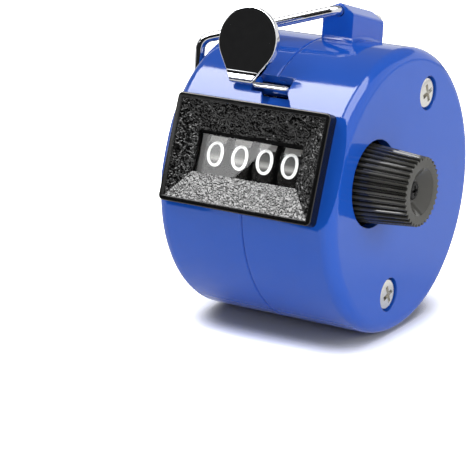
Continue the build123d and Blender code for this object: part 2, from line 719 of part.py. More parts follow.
# Thumb lever: hub, two inner arms, the bent plate through the slot and the round thumb disc
arm_out = radial(ARM_ANGLE)
arm_plane = Plane(origin=centre, x_dir=(1, 0, 0), z_dir=Vector(1, 0, 0).cross(arm_out))
disc_out = Vector(0, 0, 1).rotate(Axis.X, -DISC_LEAN)
disc_plane = Plane(origin=centre + arm_out * BEND_R, x_dir=(1, 0, 0), z_dir=Vector(1, 0, 0).cross(disc_out))
cheek_left = plate_left_inner + CHEEK_GAP
cheek_right = PLATE_RIGHT_X - CHEEK_GAP
pivot_reach = math.hypot(PIVOT_M, PIVOT_U)


def cheek(x):
    """Inner arm from the pivot to the pawl pin."""
    with BuildSketch(side_plane(x)) as outline:
        with Locations((PIVOT_M, PIVOT_U), (PAWL_M, PAWL_U)):
            Circle(CHEEK_R)
        make_hull()
    extrude(outline.sketch, amount=CHEEK_THICK)


with BuildPart() as thumb_lever:
    with BuildSketch(arm_plane) as arm:
        with BuildLine():
            Polyline(
                (ARM_LEFT, pivot_reach),
                (ARM_RIGHT, pivot_reach),
                (ARM_RIGHT, ARM_TOP),
                (TAB_RIGHT, ARM_TOP),
                (TAB_RIGHT, BEND_R),
                (TAB_LEFT, BEND_R),
                (TAB_LEFT, TAB_LOW_END),
                (ARM_LEFT, TAB_LOW),
                close=True,
            )
        make_face()
    extrude(amount=LEVER_SHEET / 2, both=True)
    bend_place = centre + arm_out * BEND_R + Vector(TAB_LEFT, 0, 0)
    with BuildSketch(Plane(origin=bend_place, z_dir=(1, 0, 0))) as bend:
        Circle(LEVER_SHEET / 2)
    extrude(amount=TAB_RIGHT - TAB_LEFT)
    with BuildSketch(disc_plane) as disc:
        with Locations((DISC_X, DISC_UP)):
            Circle(DISC_R)
        with Locations((TAB_LEFT, 0)):
            Rectangle(TAB_RIGHT - TAB_LEFT, DISC_EDGE, align=(Align.MIN, Align.MIN))
        make_hull()
    extrude(amount=LEVER_SHEET / 2, both=True)
    disc_between(LEVER_HUB_R, cheek_left, cheek_right, PIVOT_M, PIVOT_U)
    cheek(cheek_left)
    cheek(cheek_right - CHEEK_THICK)
    disc_between(PIVOT_R + LEVER_FIT, cheek_left, cheek_right, PIVOT_M, PIVOT_U, Mode.SUBTRACT)
    disc_between(PAWL_PIN_R, cheek_left, cheek_right, PAWL_M, PAWL_U, Mode.SUBTRACT)
thumb_lever.part.label = "thumb_lever"
export_step(thumb_lever.part, "parts/thumb_lever.step")

# Pin between the lever's inner arms
with BuildPart() as pawl_pin:
    disc_between(PAWL_PIN_R, cheek_left, cheek_right, PAWL_M, PAWL_U)
pawl_pin.part.label = "pawl_pin"
export_step(pawl_pin.part, "parts/pawl_pin.step")


def comb(m, u, hub_r, bore_r, x_low, x_high, tip_dist, tip_angle):
    """Tube with one tapering finger for each wheel, reaching to a point beside the ratchets."""
    disc_between(hub_r, x_low, x_high, m, u)
    tip_m, tip_u = polar(tip_dist, tip_angle)
    for start in finger_starts():
        with BuildSketch(side_plane(start)) as finger:
            with Locations((m, u)):
                Circle(FINGER_ROOT_R)
            with Locations((tip_m - WHEEL_AXIS_DIST, tip_u)):
                Circle(FINGER_TIP_R)
            make_hull()
        extrude(finger.sketch, amount=FINGER_W)
    disc_between(bore_r, x_low, x_high, m, u, Mode.SUBTRACT)


comb_left = cheek_left + CHEEK_THICK + PAWL_END_GAP
comb_right = cheek_right - CHEEK_THICK - PAWL_END_GAP

# Pawl comb, which pushes the ratchets round
with BuildPart() as pawl_comb:
    comb(
        PAWL_M,
        PAWL_U,
        PAWL_HUB_R,
        PAWL_PIN_R + LEVER_FIT,
        comb_left,
        comb_right,
        PAWL_TIP_DIST,
        PAWL_TIP_ANGLE,
    )
pawl_comb.part.label = "pawl_comb"
export_step(pawl_comb.part, "parts/pawl_comb.step")

# Rod and comb of the detent, which keeps the wheels from running back
with BuildPart() as detent_rod:
    disc_between(DETENT_ROD_R, PLATE_LEFT_X, plate_right_outer, DETENT_M, DETENT_U)
detent_rod.part.label = "detent_rod"
export_step(detent_rod.part, "parts/detent_rod.step")

with BuildPart() as detent_comb:
    comb(
        DETENT_M,
        DETENT_U,
        DETENT_HUB_R,
        DETENT_ROD_R + LEVER_FIT,
        cheek_left,
        cheek_right,
        DETENT_TIP_DIST,
        DETENT_TIP_ANGLE,
    )
detent_comb.part.label = "detent_comb"
export_step(detent_comb.part, "parts/detent_comb.step")


def torsion_coil(radius, leg):
    """Spring along X round the origin: a coil with one straight leg at each end."""
    with BuildLine() as wire:
        coil = Helix(SPRING_PITCH, SPRING_PITCH * SPRING_TURNS, radius, direction=(1, 0, 0))
        Line(coil @ 1, coil @ 1 + coil % 1 * leg)
        Line(coil @ 0, coil @ 0 - coil % 0 * leg)
    path = wire.wires()[0]
    with BuildPart() as spring:
        with BuildSketch(Plane(origin=path @ 0, z_dir=path % 0)):
            Circle(SPRING_WIRE_R)
        sweep(path=path, is_frenet=True)
    return spring.part


def across(x, m, u, turn):
    """Place across the barrel, turned about X."""
    spot = side_plane(x).from_local_coords((m, u, 0))
    return Location(spot, (turn, 0, 0))


# Springs of the lever and of the pawl comb
return_coil = torsion_coil(RETURN_SPRING_R, RETURN_LEG)
with BuildPart() as return_spring:
    with Locations(across(RETURN_SPRING_X, PIVOT_M, PIVOT_U, RETURN_TURN)):
        add(return_coil)
return_spring.part.label = "return_spring"
export_step(return_spring.part, "parts/return_spring.step")

pawl_coil = torsion_coil(PAWL_SPRING_R, PAWL_LEG)
with BuildPart() as pawl_spring:
    with Locations(across(PAWL_SPRING_X, PAWL_M, PAWL_U, PAWL_TURN)):
        add(pawl_coil)
pawl_spring.part.label = "pawl_spring"
export_step(pawl_spring.part, "parts/pawl_spring.step")


def ridged_outline(x, radius):
    """Round outline on the shaft's axis with a rounded ridge for each step round it."""
    step = 360 / KNOB_RIDGES
    with BuildSketch(side_plane(x)) as outline:
        with BuildLine():
            for ridge in range(KNOB_RIDGES):
                ends = [polar(radius - KNOB_RIDGE_DEPTH, (ridge + end) * step) for end in (0, 1)]
                crest = polar(radius, (ridge + 1 / 2) * step)
                points = [(m - WHEEL_AXIS_DIST, u) for m, u in (ends[0], crest, ends[1])]
                ThreePointArc(*points)
        make_face()
    return outline.sketch


# Reset knob: tapering ridged grip, cup in its end, cored from inside
with BuildPart() as reset_knob:
    loft([ridged_outline(KNOB_RIDGE_X, KNOB_R), ridged_outline(KNOB_END_X, KNOB_END_R)], ruled=True)
    shaft_disc(KNOB_STEM_R, KNOB_ROOT_X, KNOB_RIDGE_X)
    for x, radius in ((KNOB_END_X - KNOB_CUP_DEPTH, KNOB_CUP_FLOOR_R), (KNOB_END_X, KNOB_CUP_R)):
        with BuildSketch(side_plane(x)):
            with Locations((-WHEEL_AXIS_DIST, 0)):
                Circle(radius)
    loft(mode=Mode.SUBTRACT)
    with BuildSketch(side_plane(KNOB_ROOT_X)) as core:
        with Locations((-WHEEL_AXIS_DIST, 0)):
            Circle(KNOB_SKIN_R)
            Circle(KNOB_CORE_R, mode=Mode.SUBTRACT)
    extrude(amount=KNOB_CORE_DEPTH, mode=Mode.SUBTRACT)
    with BuildSketch(side_plane(KNOB_ROOT_X)) as socket:
        with Locations((-WHEEL_AXIS_DIST, 0)):
            Circle(SHAFT_END_R)
        with Locations((-WHEEL_AXIS_DIST, SHAFT_FLAT)):
            Rectangle(2 * SHAFT_R, SHAFT_R, align=(Align.CENTER, Align.MIN), mode=Mode.SUBTRACT)
    extrude(amount=SHAFT_TIP - KNOB_ROOT_X, mode=Mode.SUBTRACT)
    shaft_disc(KNOB_SCREW_R, SHAFT_TIP, KNOB_END_X, Mode.SUBTRACT)
reset_knob.part.label = "reset_knob"
export_step(reset_knob.part, "parts/reset_knob.step")


def pan_screw(m, u, seat, tip, shank_r, head_r, head_high):
    """Screw along the barrel with a domed head and a cross recess."""
    disc_between(shank_r, tip, seat, m, u)
    disc_between(head_r, seat, seat + head_high, m, u)
    head_end = faces().filter_by(Plane.YZ).sort_by(Axis.X)[-1]
    fillet(head_end.edges(), radius=SCREW_DOME)
    share = head_r / SCREW_HEAD_R
    with BuildSketch(side_plane(seat + head_high)) as cross:
        with Locations((m, u)):
            Rectangle(CROSS_L * share, CROSS_W * share, rotation=FRONT_TILT)
            Rectangle(CROSS_W * share, CROSS_L * share, rotation=FRONT_TILT)
    extrude(cross.sketch, amount=-CROSS_DEPTH * share, mode=Mode.SUBTRACT)


# The screw that holds the knob, and the two that hold the casing
with BuildPart() as knob_screw:
    pan_screw(
        -WHEEL_AXIS_DIST,
        0,
        KNOB_END_X - KNOB_CUP_DEPTH,
        KNOB_SCREW_TIP_X,
        KNOB_SCREW_R,
        KNOB_SCREW_HEAD_R,
        KNOB_SCREW_HEAD,
    )
knob_screw.part.label = "knob_screw"
export_step(knob_screw.part, "parts/knob_screw.step")

with BuildPart() as casing_screws:
    pan_screw(
        SCREW_M,
        SCREW_U,
        HALF_LENGTH - SINK_DEPTH,
        SCREW_TIP_X,
        SCREW_R,
        SCREW_HEAD_R,
        SCREW_HEAD_HIGH,
    )
    mirror(about=Plane(origin=centre, x_dir=(1, 0, 0), z_dir=front_plane(0).y_dir))
casing_screws.part.label = "casing_screws"
export_step(casing_screws.part, "parts/casing_screws.step")


def ring_point(far, leg, side, drop, along=0):
    """Corner of the finger ring: far is 1 on the rear wire, -1 on the front one."""
    flare = math.radians(RING_FLARE)
    fall = math.radians(RING_DROP)
    reach = leg * math.cos(flare)
    spread = leg * math.sin(flare) - side + along
    middle = ring_corner + ring_axis * (RING_SPAN / 2)
    place = middle - Vector(1, 0, 0) * (reach * math.cos(fall))
    place = place - ring_up * (reach * math.sin(fall) + drop)
    return place + ring_axis * (far * (RING_SPAN / 2 + spread))


# Finger ring: one wire, both ends hooked into the lug, folded down over the left end
with BuildPart() as finger_ring:
    with BuildLine() as ring_wire:
        FilletPolyline(
            ring_point(-1, 0, 0, 0, -RING_END),
            ring_point(-1, 0, 0, 0),
            ring_point(-1, RING_LEG, 0, 0),
            ring_point(-1, RING_LEG, RING_SIDE_IN, RING_SIDE),
            ring_point(-1, RING_LEG, RING_SIDE_IN + RING_TAPER_IN, RING_SIDE + RING_TAPER),
            ring_point(1, RING_LEG, RING_SIDE_IN + RING_TAPER_IN, RING_SIDE + RING_TAPER),
            ring_point(1, RING_LEG, RING_SIDE_IN, RING_SIDE),
            ring_point(1, RING_LEG, 0, 0),
            ring_point(1, 0, 0, 0),
            ring_point(1, 0, 0, 0, -RING_END),
            radius=(
                RING_HINGE_BEND,
                RING_BEND,
                RING_APEX_BEND,
                RING_APEX_BEND,
                RING_APEX_BEND,
                RING_APEX_BEND,
                RING_BEND,
                RING_HINGE_BEND,
            ),
        )
    with BuildSketch(Plane(origin=ring_wire.wires()[0] @ 0, z_dir=ring_wire.wires()[0] % 0)) as ring_section:
        Circle(RING_WIRE_R)
    sweep(path=ring_wire.wires()[0])
finger_ring.part.label = "finger_ring"
export_step(finger_ring.part, "parts/finger_ring.step")
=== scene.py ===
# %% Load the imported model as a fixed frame
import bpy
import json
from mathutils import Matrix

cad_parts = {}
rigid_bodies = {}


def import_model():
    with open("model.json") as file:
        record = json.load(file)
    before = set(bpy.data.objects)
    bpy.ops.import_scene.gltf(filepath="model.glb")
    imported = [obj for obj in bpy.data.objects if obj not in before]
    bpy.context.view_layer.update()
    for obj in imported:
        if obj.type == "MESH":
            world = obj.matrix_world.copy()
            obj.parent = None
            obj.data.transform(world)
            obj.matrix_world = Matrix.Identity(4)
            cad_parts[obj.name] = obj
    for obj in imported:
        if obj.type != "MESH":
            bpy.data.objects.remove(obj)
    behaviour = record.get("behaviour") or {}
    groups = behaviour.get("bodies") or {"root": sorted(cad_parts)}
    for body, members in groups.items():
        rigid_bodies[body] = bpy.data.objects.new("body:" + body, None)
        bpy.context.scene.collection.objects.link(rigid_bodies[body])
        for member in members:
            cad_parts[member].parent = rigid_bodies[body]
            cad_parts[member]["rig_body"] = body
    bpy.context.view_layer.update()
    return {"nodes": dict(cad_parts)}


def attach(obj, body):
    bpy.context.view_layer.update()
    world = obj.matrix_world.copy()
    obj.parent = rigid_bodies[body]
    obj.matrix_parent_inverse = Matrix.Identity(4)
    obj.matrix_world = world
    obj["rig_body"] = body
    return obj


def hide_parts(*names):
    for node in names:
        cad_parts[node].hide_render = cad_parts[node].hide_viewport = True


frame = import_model()

# %% [markdown]
# # A hand tally counter in Blender
# The counter is a short blue barrel that lies on its side, with a black window frame in front,
# a chromed thumb lever and a wire finger ring on top, and a black reset knob at the right end.
# The solids already give every place and size, so this script only dresses them.
# Most visible pieces are made again with finer rounding, and the hidden mechanism keeps its
# solids and gets metal finishes. All sizes below are millimetres and become metres in one matrix.

# %% Units, angles and the place of the front
import json
import math

import bmesh
import bpy
from mathutils import Matrix, Vector

MM = 0.001
FULL_TURN = math.radians(360)
FRONT_TILT = math.radians(21)
AXIS_HIGH = 22.25
CENTRE = Vector((0, 0, AXIS_HIGH))
BEZEL_X = -0.47
WHEEL_AXIS = 10.4


def placed(turn, origin):
    """Matrix from millimetres in a turned workplane (x along the barrel) to metres in the frame."""
    return Matrix.Translation(origin * MM) @ Matrix.Rotation(turn, 4, "X") @ Matrix.Scale(MM, 4)


# In this workplane y runs up the front flat and z points out of it
FRONT = placed(math.radians(90) - FRONT_TILT, CENTRE)
print("front looks along", [round(v, 3) for v in (FRONT.to_3x3() @ Vector((0, 0, 1))).normalized()])

# %% [markdown]
# ## Small helpers for materials
# A finish is a few nodes, so one function adds any node with its settings and its links.
# Colours are written as sRGB hex values, as a paint chart gives them, and turned to the linear
# values that the renderer works with. Patterns read Object coordinates in metres, so a
# pattern's scale is one over its real size.


# %% Node and colour helpers
def linear(code):
    """Linear RGBA of a hex sRGB colour."""
    parts = [int(code[place:place + 2], 16) / 255 for place in (1, 3, 5)]
    return (*[p / 12.92 if p <= 0.04045 else ((p + 0.055) / 1.055) ** 2.4 for p in parts], 1)


def add_node(tree, kind, settings=(), links=()):
    """Adds a node; a setting names a socket or a property, and a link is socket: (node, output)."""
    node = tree.nodes.new(kind)
    for key, value in dict(settings).items():
        if key in node.inputs:
            node.inputs[key].default_value = value
        else:
            setattr(node, key, value)
    for key, (source, output) in dict(links).items():
        tree.links.new(source.outputs[output], node.inputs[key])
    return node


def new_finish(name, **shader):
    """Material with one Principled shader, its node tree and its object coordinates."""
    finish = bpy.data.materials.new(name)
    finish.use_nodes = True
    tree = finish.node_tree
    surface = tree.nodes["Principled BSDF"]
    for key, value in shader.items():
        surface.inputs[key.replace("_", " ")].default_value = value
    where = add_node(tree, "ShaderNodeTexCoord")
    return finish, tree, surface, where


def speckle(tree, where, size, detail=2, **more):
    """Noise whose grains are about size millimetres across."""
    settings = {"Scale": 1 / (size * MM), "Detail": detail, **more}
    return add_node(tree, "ShaderNodeTexNoise", settings, {"Vector": (where, "Object")})


def between(tree, source, output, low, high):
    """Turns a 0 to 1 pattern into values from low to high."""
    return add_node(tree, "ShaderNodeMapRange", {"To Min": low, "To Max": high}, {"Value": (source, output)})


def two_colours(tree, source, output, dark, light, low=0, high=1):
    """Colour ramp from dark to light over a pattern, between two places of its range."""
    ramp = add_node(tree, "ShaderNodeValToRGB", links={"Fac": (source, output)})
    for end, place, colour in zip(ramp.color_ramp.elements, (low, high), (dark, light)):
        end.position, end.color = place, linear(colour)
    return ramp


def feed(tree, surface, tone=None, gloss=None, bump=None):
    """Links a colour, a roughness and a normal to the shader, as far as they are given."""
    pairs = ((tone, "Color", "Base Color"), (gloss, "Result", "Roughness"), (bump, "Normal", "Normal"))
    for node, output, socket in pairs:
        if node:
            tree.links.new(node.outputs[output], surface.inputs[socket])


# %% [markdown]
# ## Blue ABS
# The casing is injection-moulded ABS from a polished mould, so it is smooth and glossy with
# an IOR of about 1.53. Under the gloss the pigment is even, with a faint flow variation
# of a few millimetres, and handling leaves the gloss slightly uneven. The mould's edges
# are a little broken, so a Bevel node rounds the normals there by two tenths of a millimetre.

# %% Blue ABS
blue_abs, tree, surface, where = new_finish("blue_abs_polished", IOR=1.53)
flow = speckle(tree, where, 6, 3)
tone = two_colours(tree, flow, "Fac", "#1751b7", "#1b56bf")
haze = speckle(tree, where, 2.5, 4)
gloss = between(tree, haze, "Fac", 0.05, 0.12)
edge = add_node(tree, "ShaderNodeBevel", {"samples": 6, "Radius": 0.22 * MM})
wave = add_node(
    tree, "ShaderNodeBump", {"Strength": 0.02, "Distance": 0.3 * MM},
    {"Height": (flow, "Fac"), "Normal": (edge, "Normal")},
)
feed(tree, surface, tone, gloss, wave)
print("finish:", blue_abs.name)

# %% [markdown]
# ## Black ABS
# Window frame and knob are black ABS. The frame's outside is polished, and its four slopes come
# from a spark-eroded mould: worm-like ridges about a third of a millimetre wide. They are distorted
# noise, given as height to a Bump node, because ridges this fine need no real geometry, and the
# same noise paints their crests pale, a painted highlight of the light from above that they catch.
# The walls of the window opening are matt and painted near black, as painted shade. The knob's black is
# paler on its ridges than in its grooves, a painted shade made by an ambient-occlusion node, and its end is
# matt.

# %% Black ABS
ABS_IOR = 1.53


def smooth_black(name, low, high):
    """Glossy black plastic between two roughnesses, with slightly broken edges and no colour yet."""
    finish, tree, surface, where = new_finish(name, IOR=ABS_IOR)
    haze = speckle(tree, where, 1.5, 4)
    gloss = between(tree, haze, "Fac", low, high)
    edge = add_node(tree, "ShaderNodeBevel", {"samples": 6, "Radius": 0.08 * MM})
    feed(tree, surface, gloss=gloss, bump=edge)
    return finish, tree, surface, haze


black_abs, tree, surface, haze = smooth_black("black_abs_polished", 0.1, 0.18)
feed(tree, surface, two_colours(tree, haze, "Fac", "#070707", "#0d0d0d"))

# Painted shade: an ambient-occlusion node paints the knob near black in its grooves and paler on its ridges
knob_abs, tree, surface, haze = smooth_black("black_abs_knob_groove_shade", 0.05, 0.11)
groove_shade = add_node(tree, "ShaderNodeAmbientOcclusion", {"samples": 8, "Distance": 0.6 * MM})
feed(tree, surface, two_colours(tree, groove_shade, "AO", "#030303", "#3d3c38", 0.55, 0.95))

eroded_glint_abs, tree, surface, where = new_finish("black_abs_spark_eroded_painted_glints", IOR=1.62, Roughness=0.1)
worms = speckle(tree, where, 0.64, 1, Distortion=1.6)
# Painted highlight: the ramp turns the worms' crests pale grey, standing for the light they catch; the bump
# gives their real relief
tone = two_colours(tree, worms, "Fac", "#010101", "#3c3c3c", 0.56, 0.63)
ridges = add_node(
    tree, "ShaderNodeBump", {"Strength": 1.0, "Distance": 0.16 * MM}, {"Height": (worms, "Fac")}
)
feed(tree, surface, tone, bump=ridges)

matt_abs, tree, surface, where = new_finish("black_abs_matt_moulded", IOR=ABS_IOR, Roughness=0.5)
grain = speckle(tree, where, 0.12, 2)
tone = two_colours(tree, grain, "Fac", "#2f2f2c", "#53524d")
pits = add_node(tree, "ShaderNodeBump", {"Strength": 0.6, "Distance": 0.04 * MM}, {"Height": (grain, "Fac")})
feed(tree, surface, tone, bump=pits)

# Painted shade: the opening's walls get a near-black colour and almost no specular, standing for the shade
# inside the deep opening
painted_shade_abs, tree, surface, where = new_finish(
    "black_abs_painted_shade_wall", IOR=ABS_IOR, Roughness=0.6, Specular_IOR_Level=0.1
)
grain = speckle(tree, where, 0.3, 2)
feed(tree, surface, two_colours(tree, grain, "Fac", "#010101", "#040404"))
print("finish:", black_abs.name, knob_abs.name, eroded_glint_abs.name, matt_abs.name, painted_shade_abs.name)

# %% [markdown]
# ## Chrome plate and the plain metals
# The lever is stamped steel with bright chrome, and so is the wire ring: nearly a mirror, with
# hairline marks from handling. The casing's screws are nickel-plated and the knob's screw is
# blackened. Inside are zinc-plated steel, spring steel and turned brass. A metal's
# colour is its reflectance, so each gets its own tone, and a roughness that wanders a little
# as plating and rolling leave it.

# %% Metals
def metal(name, dark, light, low, high, grain, stretch=(1, 1, 1)):
    """Metal finish: tone and roughness wander over grains of a size in millimetres."""
    finish, tree, surface, where = new_finish(name, Metallic=1)
    along = add_node(tree, "ShaderNodeMapping", {"Scale": stretch}, {"Vector": (where, "Object")})
    marks = add_node(
        tree, "ShaderNodeTexNoise", {"Scale": 1 / (grain * MM), "Detail": 4}, {"Vector": (along, "Vector")}
    )
    tone = two_colours(tree, marks, "Fac", dark, light)
    gloss = between(tree, marks, "Fac", low, high)
    feed(tree, surface, tone, gloss)
    print("finish:", finish.name)
    return finish


chrome = metal("chrome_plate_bright", "#cfd0d3", "#e4e5e8", 0.02, 0.07, 1.2)
nickel = metal("nickel_plated_screw", "#d6d4ce", "#f0eee9", 0.12, 0.25, 0.5)
black_steel = metal("blackened_steel_screw", "#1b1b1c", "#343434", 0.2, 0.35, 0.5)
zinc = metal("zinc_plated_steel", "#a4a8ad", "#c4c8cc", 0.25, 0.4, 1.5)
spring_steel = metal("drawn_spring_steel", "#7f8184", "#a2a4a8", 0.2, 0.35, 0.8, (8, 1, 1))
brass = metal("turned_brass", "#b08a3c", "#d3ad5b", 0.18, 0.3, 0.6, (12, 1, 1))

# %% [markdown]
# ## Wheels, print and window
# The number wheels are glossy black polystyrene. The digits are hot-stamped
# white foil, slightly matt. The window is clear acrylic: a full glass shader lets no lamp
# light through to the wheels, so shadow rays pass it as if it were air.

# %% Wheel plastic, white print and clear acrylic
wheel_black, tree, surface, where = new_finish("black_polystyrene", IOR=1.59)
haze = speckle(tree, where, 0.8, 3)
tone = two_colours(tree, haze, "Fac", "#121211", "#1d1c1a")
gloss = between(tree, haze, "Fac", 0.12, 0.2)
feed(tree, surface, tone, gloss)

white_foil, tree, surface, where = new_finish("white_stamping_foil", IOR=1.5, Roughness=0.45)
grain = speckle(tree, where, 0.15, 2)
feed(tree, surface, two_colours(tree, grain, "Fac", "#efefec", "#fbfbf8"))


def fading_print(name, stops):
    """Grey painted light that changes along the piece's UV map; stops are (place, colour)."""
    finish, tree, surface, where = new_finish(name, IOR=1.5)
    across = add_node(tree, "ShaderNodeSeparateXYZ", links={"Vector": (where, "UV")})
    fade = add_node(tree, "ShaderNodeValToRGB", links={"Fac": (across, "Y")})
    ramp = fade.color_ramp.elements
    for end, (place, colour) in ((ramp[0], stops[0]), (ramp[1], stops[-1])):
        end.position, end.color = place, linear(colour)
    for place, colour in stops[1:-1]:
        ramp.new(place).color = linear(colour)
    grain = speckle(tree, where, 0.2, 2)
    feed(tree, surface, fade, between(tree, grain, "Fac", 0.35, 0.5))
    return finish


# Painted highlight: a pale bar above each zero stands for the overhead light mirrored on the rim
painted_highlight_bar = fading_print("grey_painted_highlight_bar", [(0, "#6f6e6b"), (0.5, "#a09e9a"), (1, "#b9b7b3")])
# Painted reflection: the field inside the zero is light in its lower middle and dark at top and bottom
painted_reflection_field = fading_print(
    "grey_painted_reflection_field",
    [(0, "#0b0b0a"), (0.12, "#454441"), (0.28, "#9a9894"), (0.55, "#3e3d3a"), (1, "#111110")],
)

acrylic, tree, surface, where = new_finish(
    "clear_acrylic", IOR=1.49, Transmission_Weight=1, Base_Color=linear("#fbfcfd")
)
mist = speckle(tree, where, 3, 2)
feed(tree, surface, gloss=between(tree, mist, "Fac", 0.0, 0.015))
rays = add_node(tree, "ShaderNodeLightPath")
open_air = add_node(tree, "ShaderNodeBsdfTransparent")
choice = add_node(tree, "ShaderNodeMixShader")
tree.links.new(rays.outputs["Is Shadow Ray"], choice.inputs[0])
tree.links.new(surface.outputs["BSDF"], choice.inputs[1])
tree.links.new(open_air.outputs["BSDF"], choice.inputs[2])
tree.links.new(choice.outputs["Shader"], tree.nodes["Material Output"].inputs["Surface"])
print("finish:", wheel_black.name, white_foil.name, acrylic.name)

# %% [markdown]
# ## Helpers for making pieces
# A piece is drawn in millimetres in a workplane, then one matrix puts it in its place
# in the frame, so its object stays at the origin. A turned piece is a profile
# spun round the barrel's direction. A stamped plate is the hull of two circles or of a circle and a tab.


# %% Mesh helpers
def in_scene(name, data):
    """New object at the origin, in the scene."""
    holder = bpy.data.objects.new(name, data)
    bpy.context.scene.collection.objects.link(holder)
    return holder


def mesh_of(bm, name):
    """Turns a bmesh into a mesh and frees it."""
    mesh = bpy.data.meshes.new(name)
    bm.to_mesh(mesh)
    bm.free()
    return mesh


def joined(meshes):
    """One bmesh from several meshes, which are removed."""
    bm = bmesh.new()
    for mesh in meshes:
        bm.from_mesh(mesh)
        bpy.data.meshes.remove(mesh)
    return bm


def worked_out(holder):
    """Mesh of an object with its curve or its modifiers worked out."""
    bpy.context.view_layer.update()
    depsgraph = bpy.context.evaluated_depsgraph_get()
    return bpy.data.meshes.new_from_object(holder.evaluated_get(depsgraph))


def verts_in(items):
    """The vertices in a mixed list of mesh items."""
    return [item for item in items if isinstance(item, bmesh.types.BMVert)]


def finished(name, bm, matrix, finishes, body, nodes=(), crease=30):
    """Puts a mesh in its place, shades it smooth up to an angle, and lets it ride on a body."""
    bmesh.ops.transform(bm, matrix=matrix, verts=bm.verts)
    bmesh.ops.recalc_face_normals(bm, faces=bm.faces)
    for face in bm.faces:
        face.smooth = True
    mesh = mesh_of(bm, name)
    mesh.set_sharp_from_angle(angle=math.radians(crease))
    for finish in finishes:
        mesh.materials.append(finish)
    piece = in_scene(name, mesh)
    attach(piece, body)
    if nodes:
        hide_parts(*nodes)
    print(f"{name}: {len(mesh.polygons)} faces")
    return piece


def turned(bm, profile, up=0, out=0, steps=128, closed=False):
    """Spins points (x, radius) round the x direction at a place on the front workplane."""
    points = [bm.verts.new((x, up, out + radius)) for x, radius in profile]
    pairs = list(zip(points, points[1:])) + ([(points[-1], points[0])] if closed else [])
    edges = [bm.edges.new(pair) for pair in pairs]
    bmesh.ops.spin(
        bm, geom=points + edges, cent=(0, up, out), axis=(1, 0, 0), angle=FULL_TURN,
        steps=steps, use_merge=True,
    )
    bmesh.ops.remove_doubles(bm, verts=bm.verts, dist=MM)


def stamped(bm, circles, corners, thick):
    """Flat plate in the xy workplane: the hull of circles (x, y, radius) and corners (x, y)."""
    fresh = []
    for side in (-thick / 2, thick / 2):
        for x, y, radius in circles:
            place = Matrix.Translation((x, y, side))
            fresh += bmesh.ops.create_circle(bm, segments=96, radius=radius, matrix=place)["verts"]
        fresh += [bm.verts.new((x, y, side)) for x, y in corners]
    hull = bmesh.ops.convex_hull(bm, input=fresh)
    loose = verts_in(hull["geom_interior"] + hull["geom_unused"])
    bmesh.ops.delete(bm, geom=list(set(loose)), context="VERTS")
    bmesh.ops.dissolve_limit(bm, angle_limit=math.radians(1), verts=bm.verts, edges=bm.edges)


def prism(bm, spots, thick):
    """Extrudes a flat outline by a vector."""
    face = bm.faces.new([bm.verts.new(spot) for spot in spots])
    far = bmesh.ops.extrude_face_region(bm, geom=[face])["geom"]
    bmesh.ops.translate(bm, vec=thick, verts=verts_in(far))


def bevelled(bm, edges, width, segments, **more):
    """Rounds some edges, and lets the new faces keep their neighbour's material."""
    bmesh.ops.bevel(
        bm, geom=edges, offset=width, offset_type="OFFSET", segments=segments,
        profile=0.5, affect="EDGES", material=-1, **more,
    )


def rounded(bm, width):
    """Rounds every edge that is sharper than 40 degrees, as far as its neighbours let it."""
    sharp = [e for e in bm.edges if len(e.link_faces) == 2 and e.calc_face_angle(0) > math.radians(40)]
    bevelled(bm, sharp, width, 5, clamp_overlap=True)


def even_shading(piece):
    """Lets the large faces lead the shading, so that narrow roundings do not smear them."""
    weights = piece.modifiers.new("even shading", "WEIGHTED_NORMAL")
    weights.keep_sharp = True
    weights.weight = 100


def merged_copy(node, name, finish, crease):
    """Copy of a solid's mesh with its triangles joined, and shading that follows its large faces."""
    source = frame["nodes"][node]
    bm = bmesh.new()
    bm.from_mesh(source.data)
    bmesh.ops.remove_doubles(bm, verts=bm.verts, dist=MM * MM)
    bmesh.ops.dissolve_limit(bm, angle_limit=math.radians(0.3), verts=bm.verts, edges=bm.edges)
    piece = finished(name, bm, Matrix.Identity(4), [finish], source["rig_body"], [node], crease=crease)
    even_shading(piece)


# %% [markdown]
# ## Casing halves
# Two moulded cups meet at a seam in the middle of the barrel. Their solids already have the rounded
# ends, the slot for the lever, the counterbored screw holes and the lug of the ring, so a joined
# copy of each is enough. Weighted normals keep the flat end and the barrel free of
# smears where the rounded edge meets them, which matters on so glossy a plastic.

# %% Casing
for half in ("left", "right"):
    merged_copy(f"casing_{half}", f"casing_half_{half}", blue_abs, 20)

# %% [markdown]
# ## Window frame
# The frame is a thick plate with a raised lip, and four slopes that lead down to the window.
# It starts as a box whose standing edges are bevelled to round corners. Each further step takes
# one face, extrudes it and scales it, so the slopes are simply a face that shrinks while it sinks.

# %% Window frame
FRAME_LOW, FRAME_TOP = 20.9, 22.9
FRAME_SIZE = (27.0, 16.9)
LIP_INSIDE = (25.4, 15.3)
WINDOW = (18.4, 6.5)
PLUG = (21.4, 9.5)
SEAT = (19.46, 7.56)
WINDOW_AT = 21.5
PLUG_HIGH = 1.3
LIP_EDGE, LIP_DEEP, LIP_DRAFT = 0.08, 0.22, 0.05
WALL_DRAFT = 0.5
CORNER_ROUND, RIM_ROUND = 0.8, 0.2
BLACK_SLOPE, SHADE_WALL = 1, 2


def step_face(bm, face, size, depth, mark=0):
    """Extrudes a face square to itself, then scales the new face to a size; returns the new face."""
    normal = face.normal.copy()
    new = bmesh.ops.extrude_discrete_faces(bm, faces=[face])["faces"][0]
    spots = [v.co for v in new.verts]
    wide = max(p.x for p in spots) - min(p.x for p in spots)
    high = max(p.y for p in spots) - min(p.y for p in spots)
    shrink = Matrix.Diagonal((size[0] / wide, size[1] / high, 1, 1))
    about = Matrix.Translation((-BEZEL_X, 0, 0))
    bmesh.ops.transform(bm, matrix=about.inverted() @ shrink @ about, verts=new.verts)
    bmesh.ops.translate(bm, vec=normal * depth, verts=new.verts)
    if mark:
        for edge in new.edges:
            for side in edge.link_faces:
                if side is not new:
                    side.material_index = mark
    bm.normal_update()
    return new


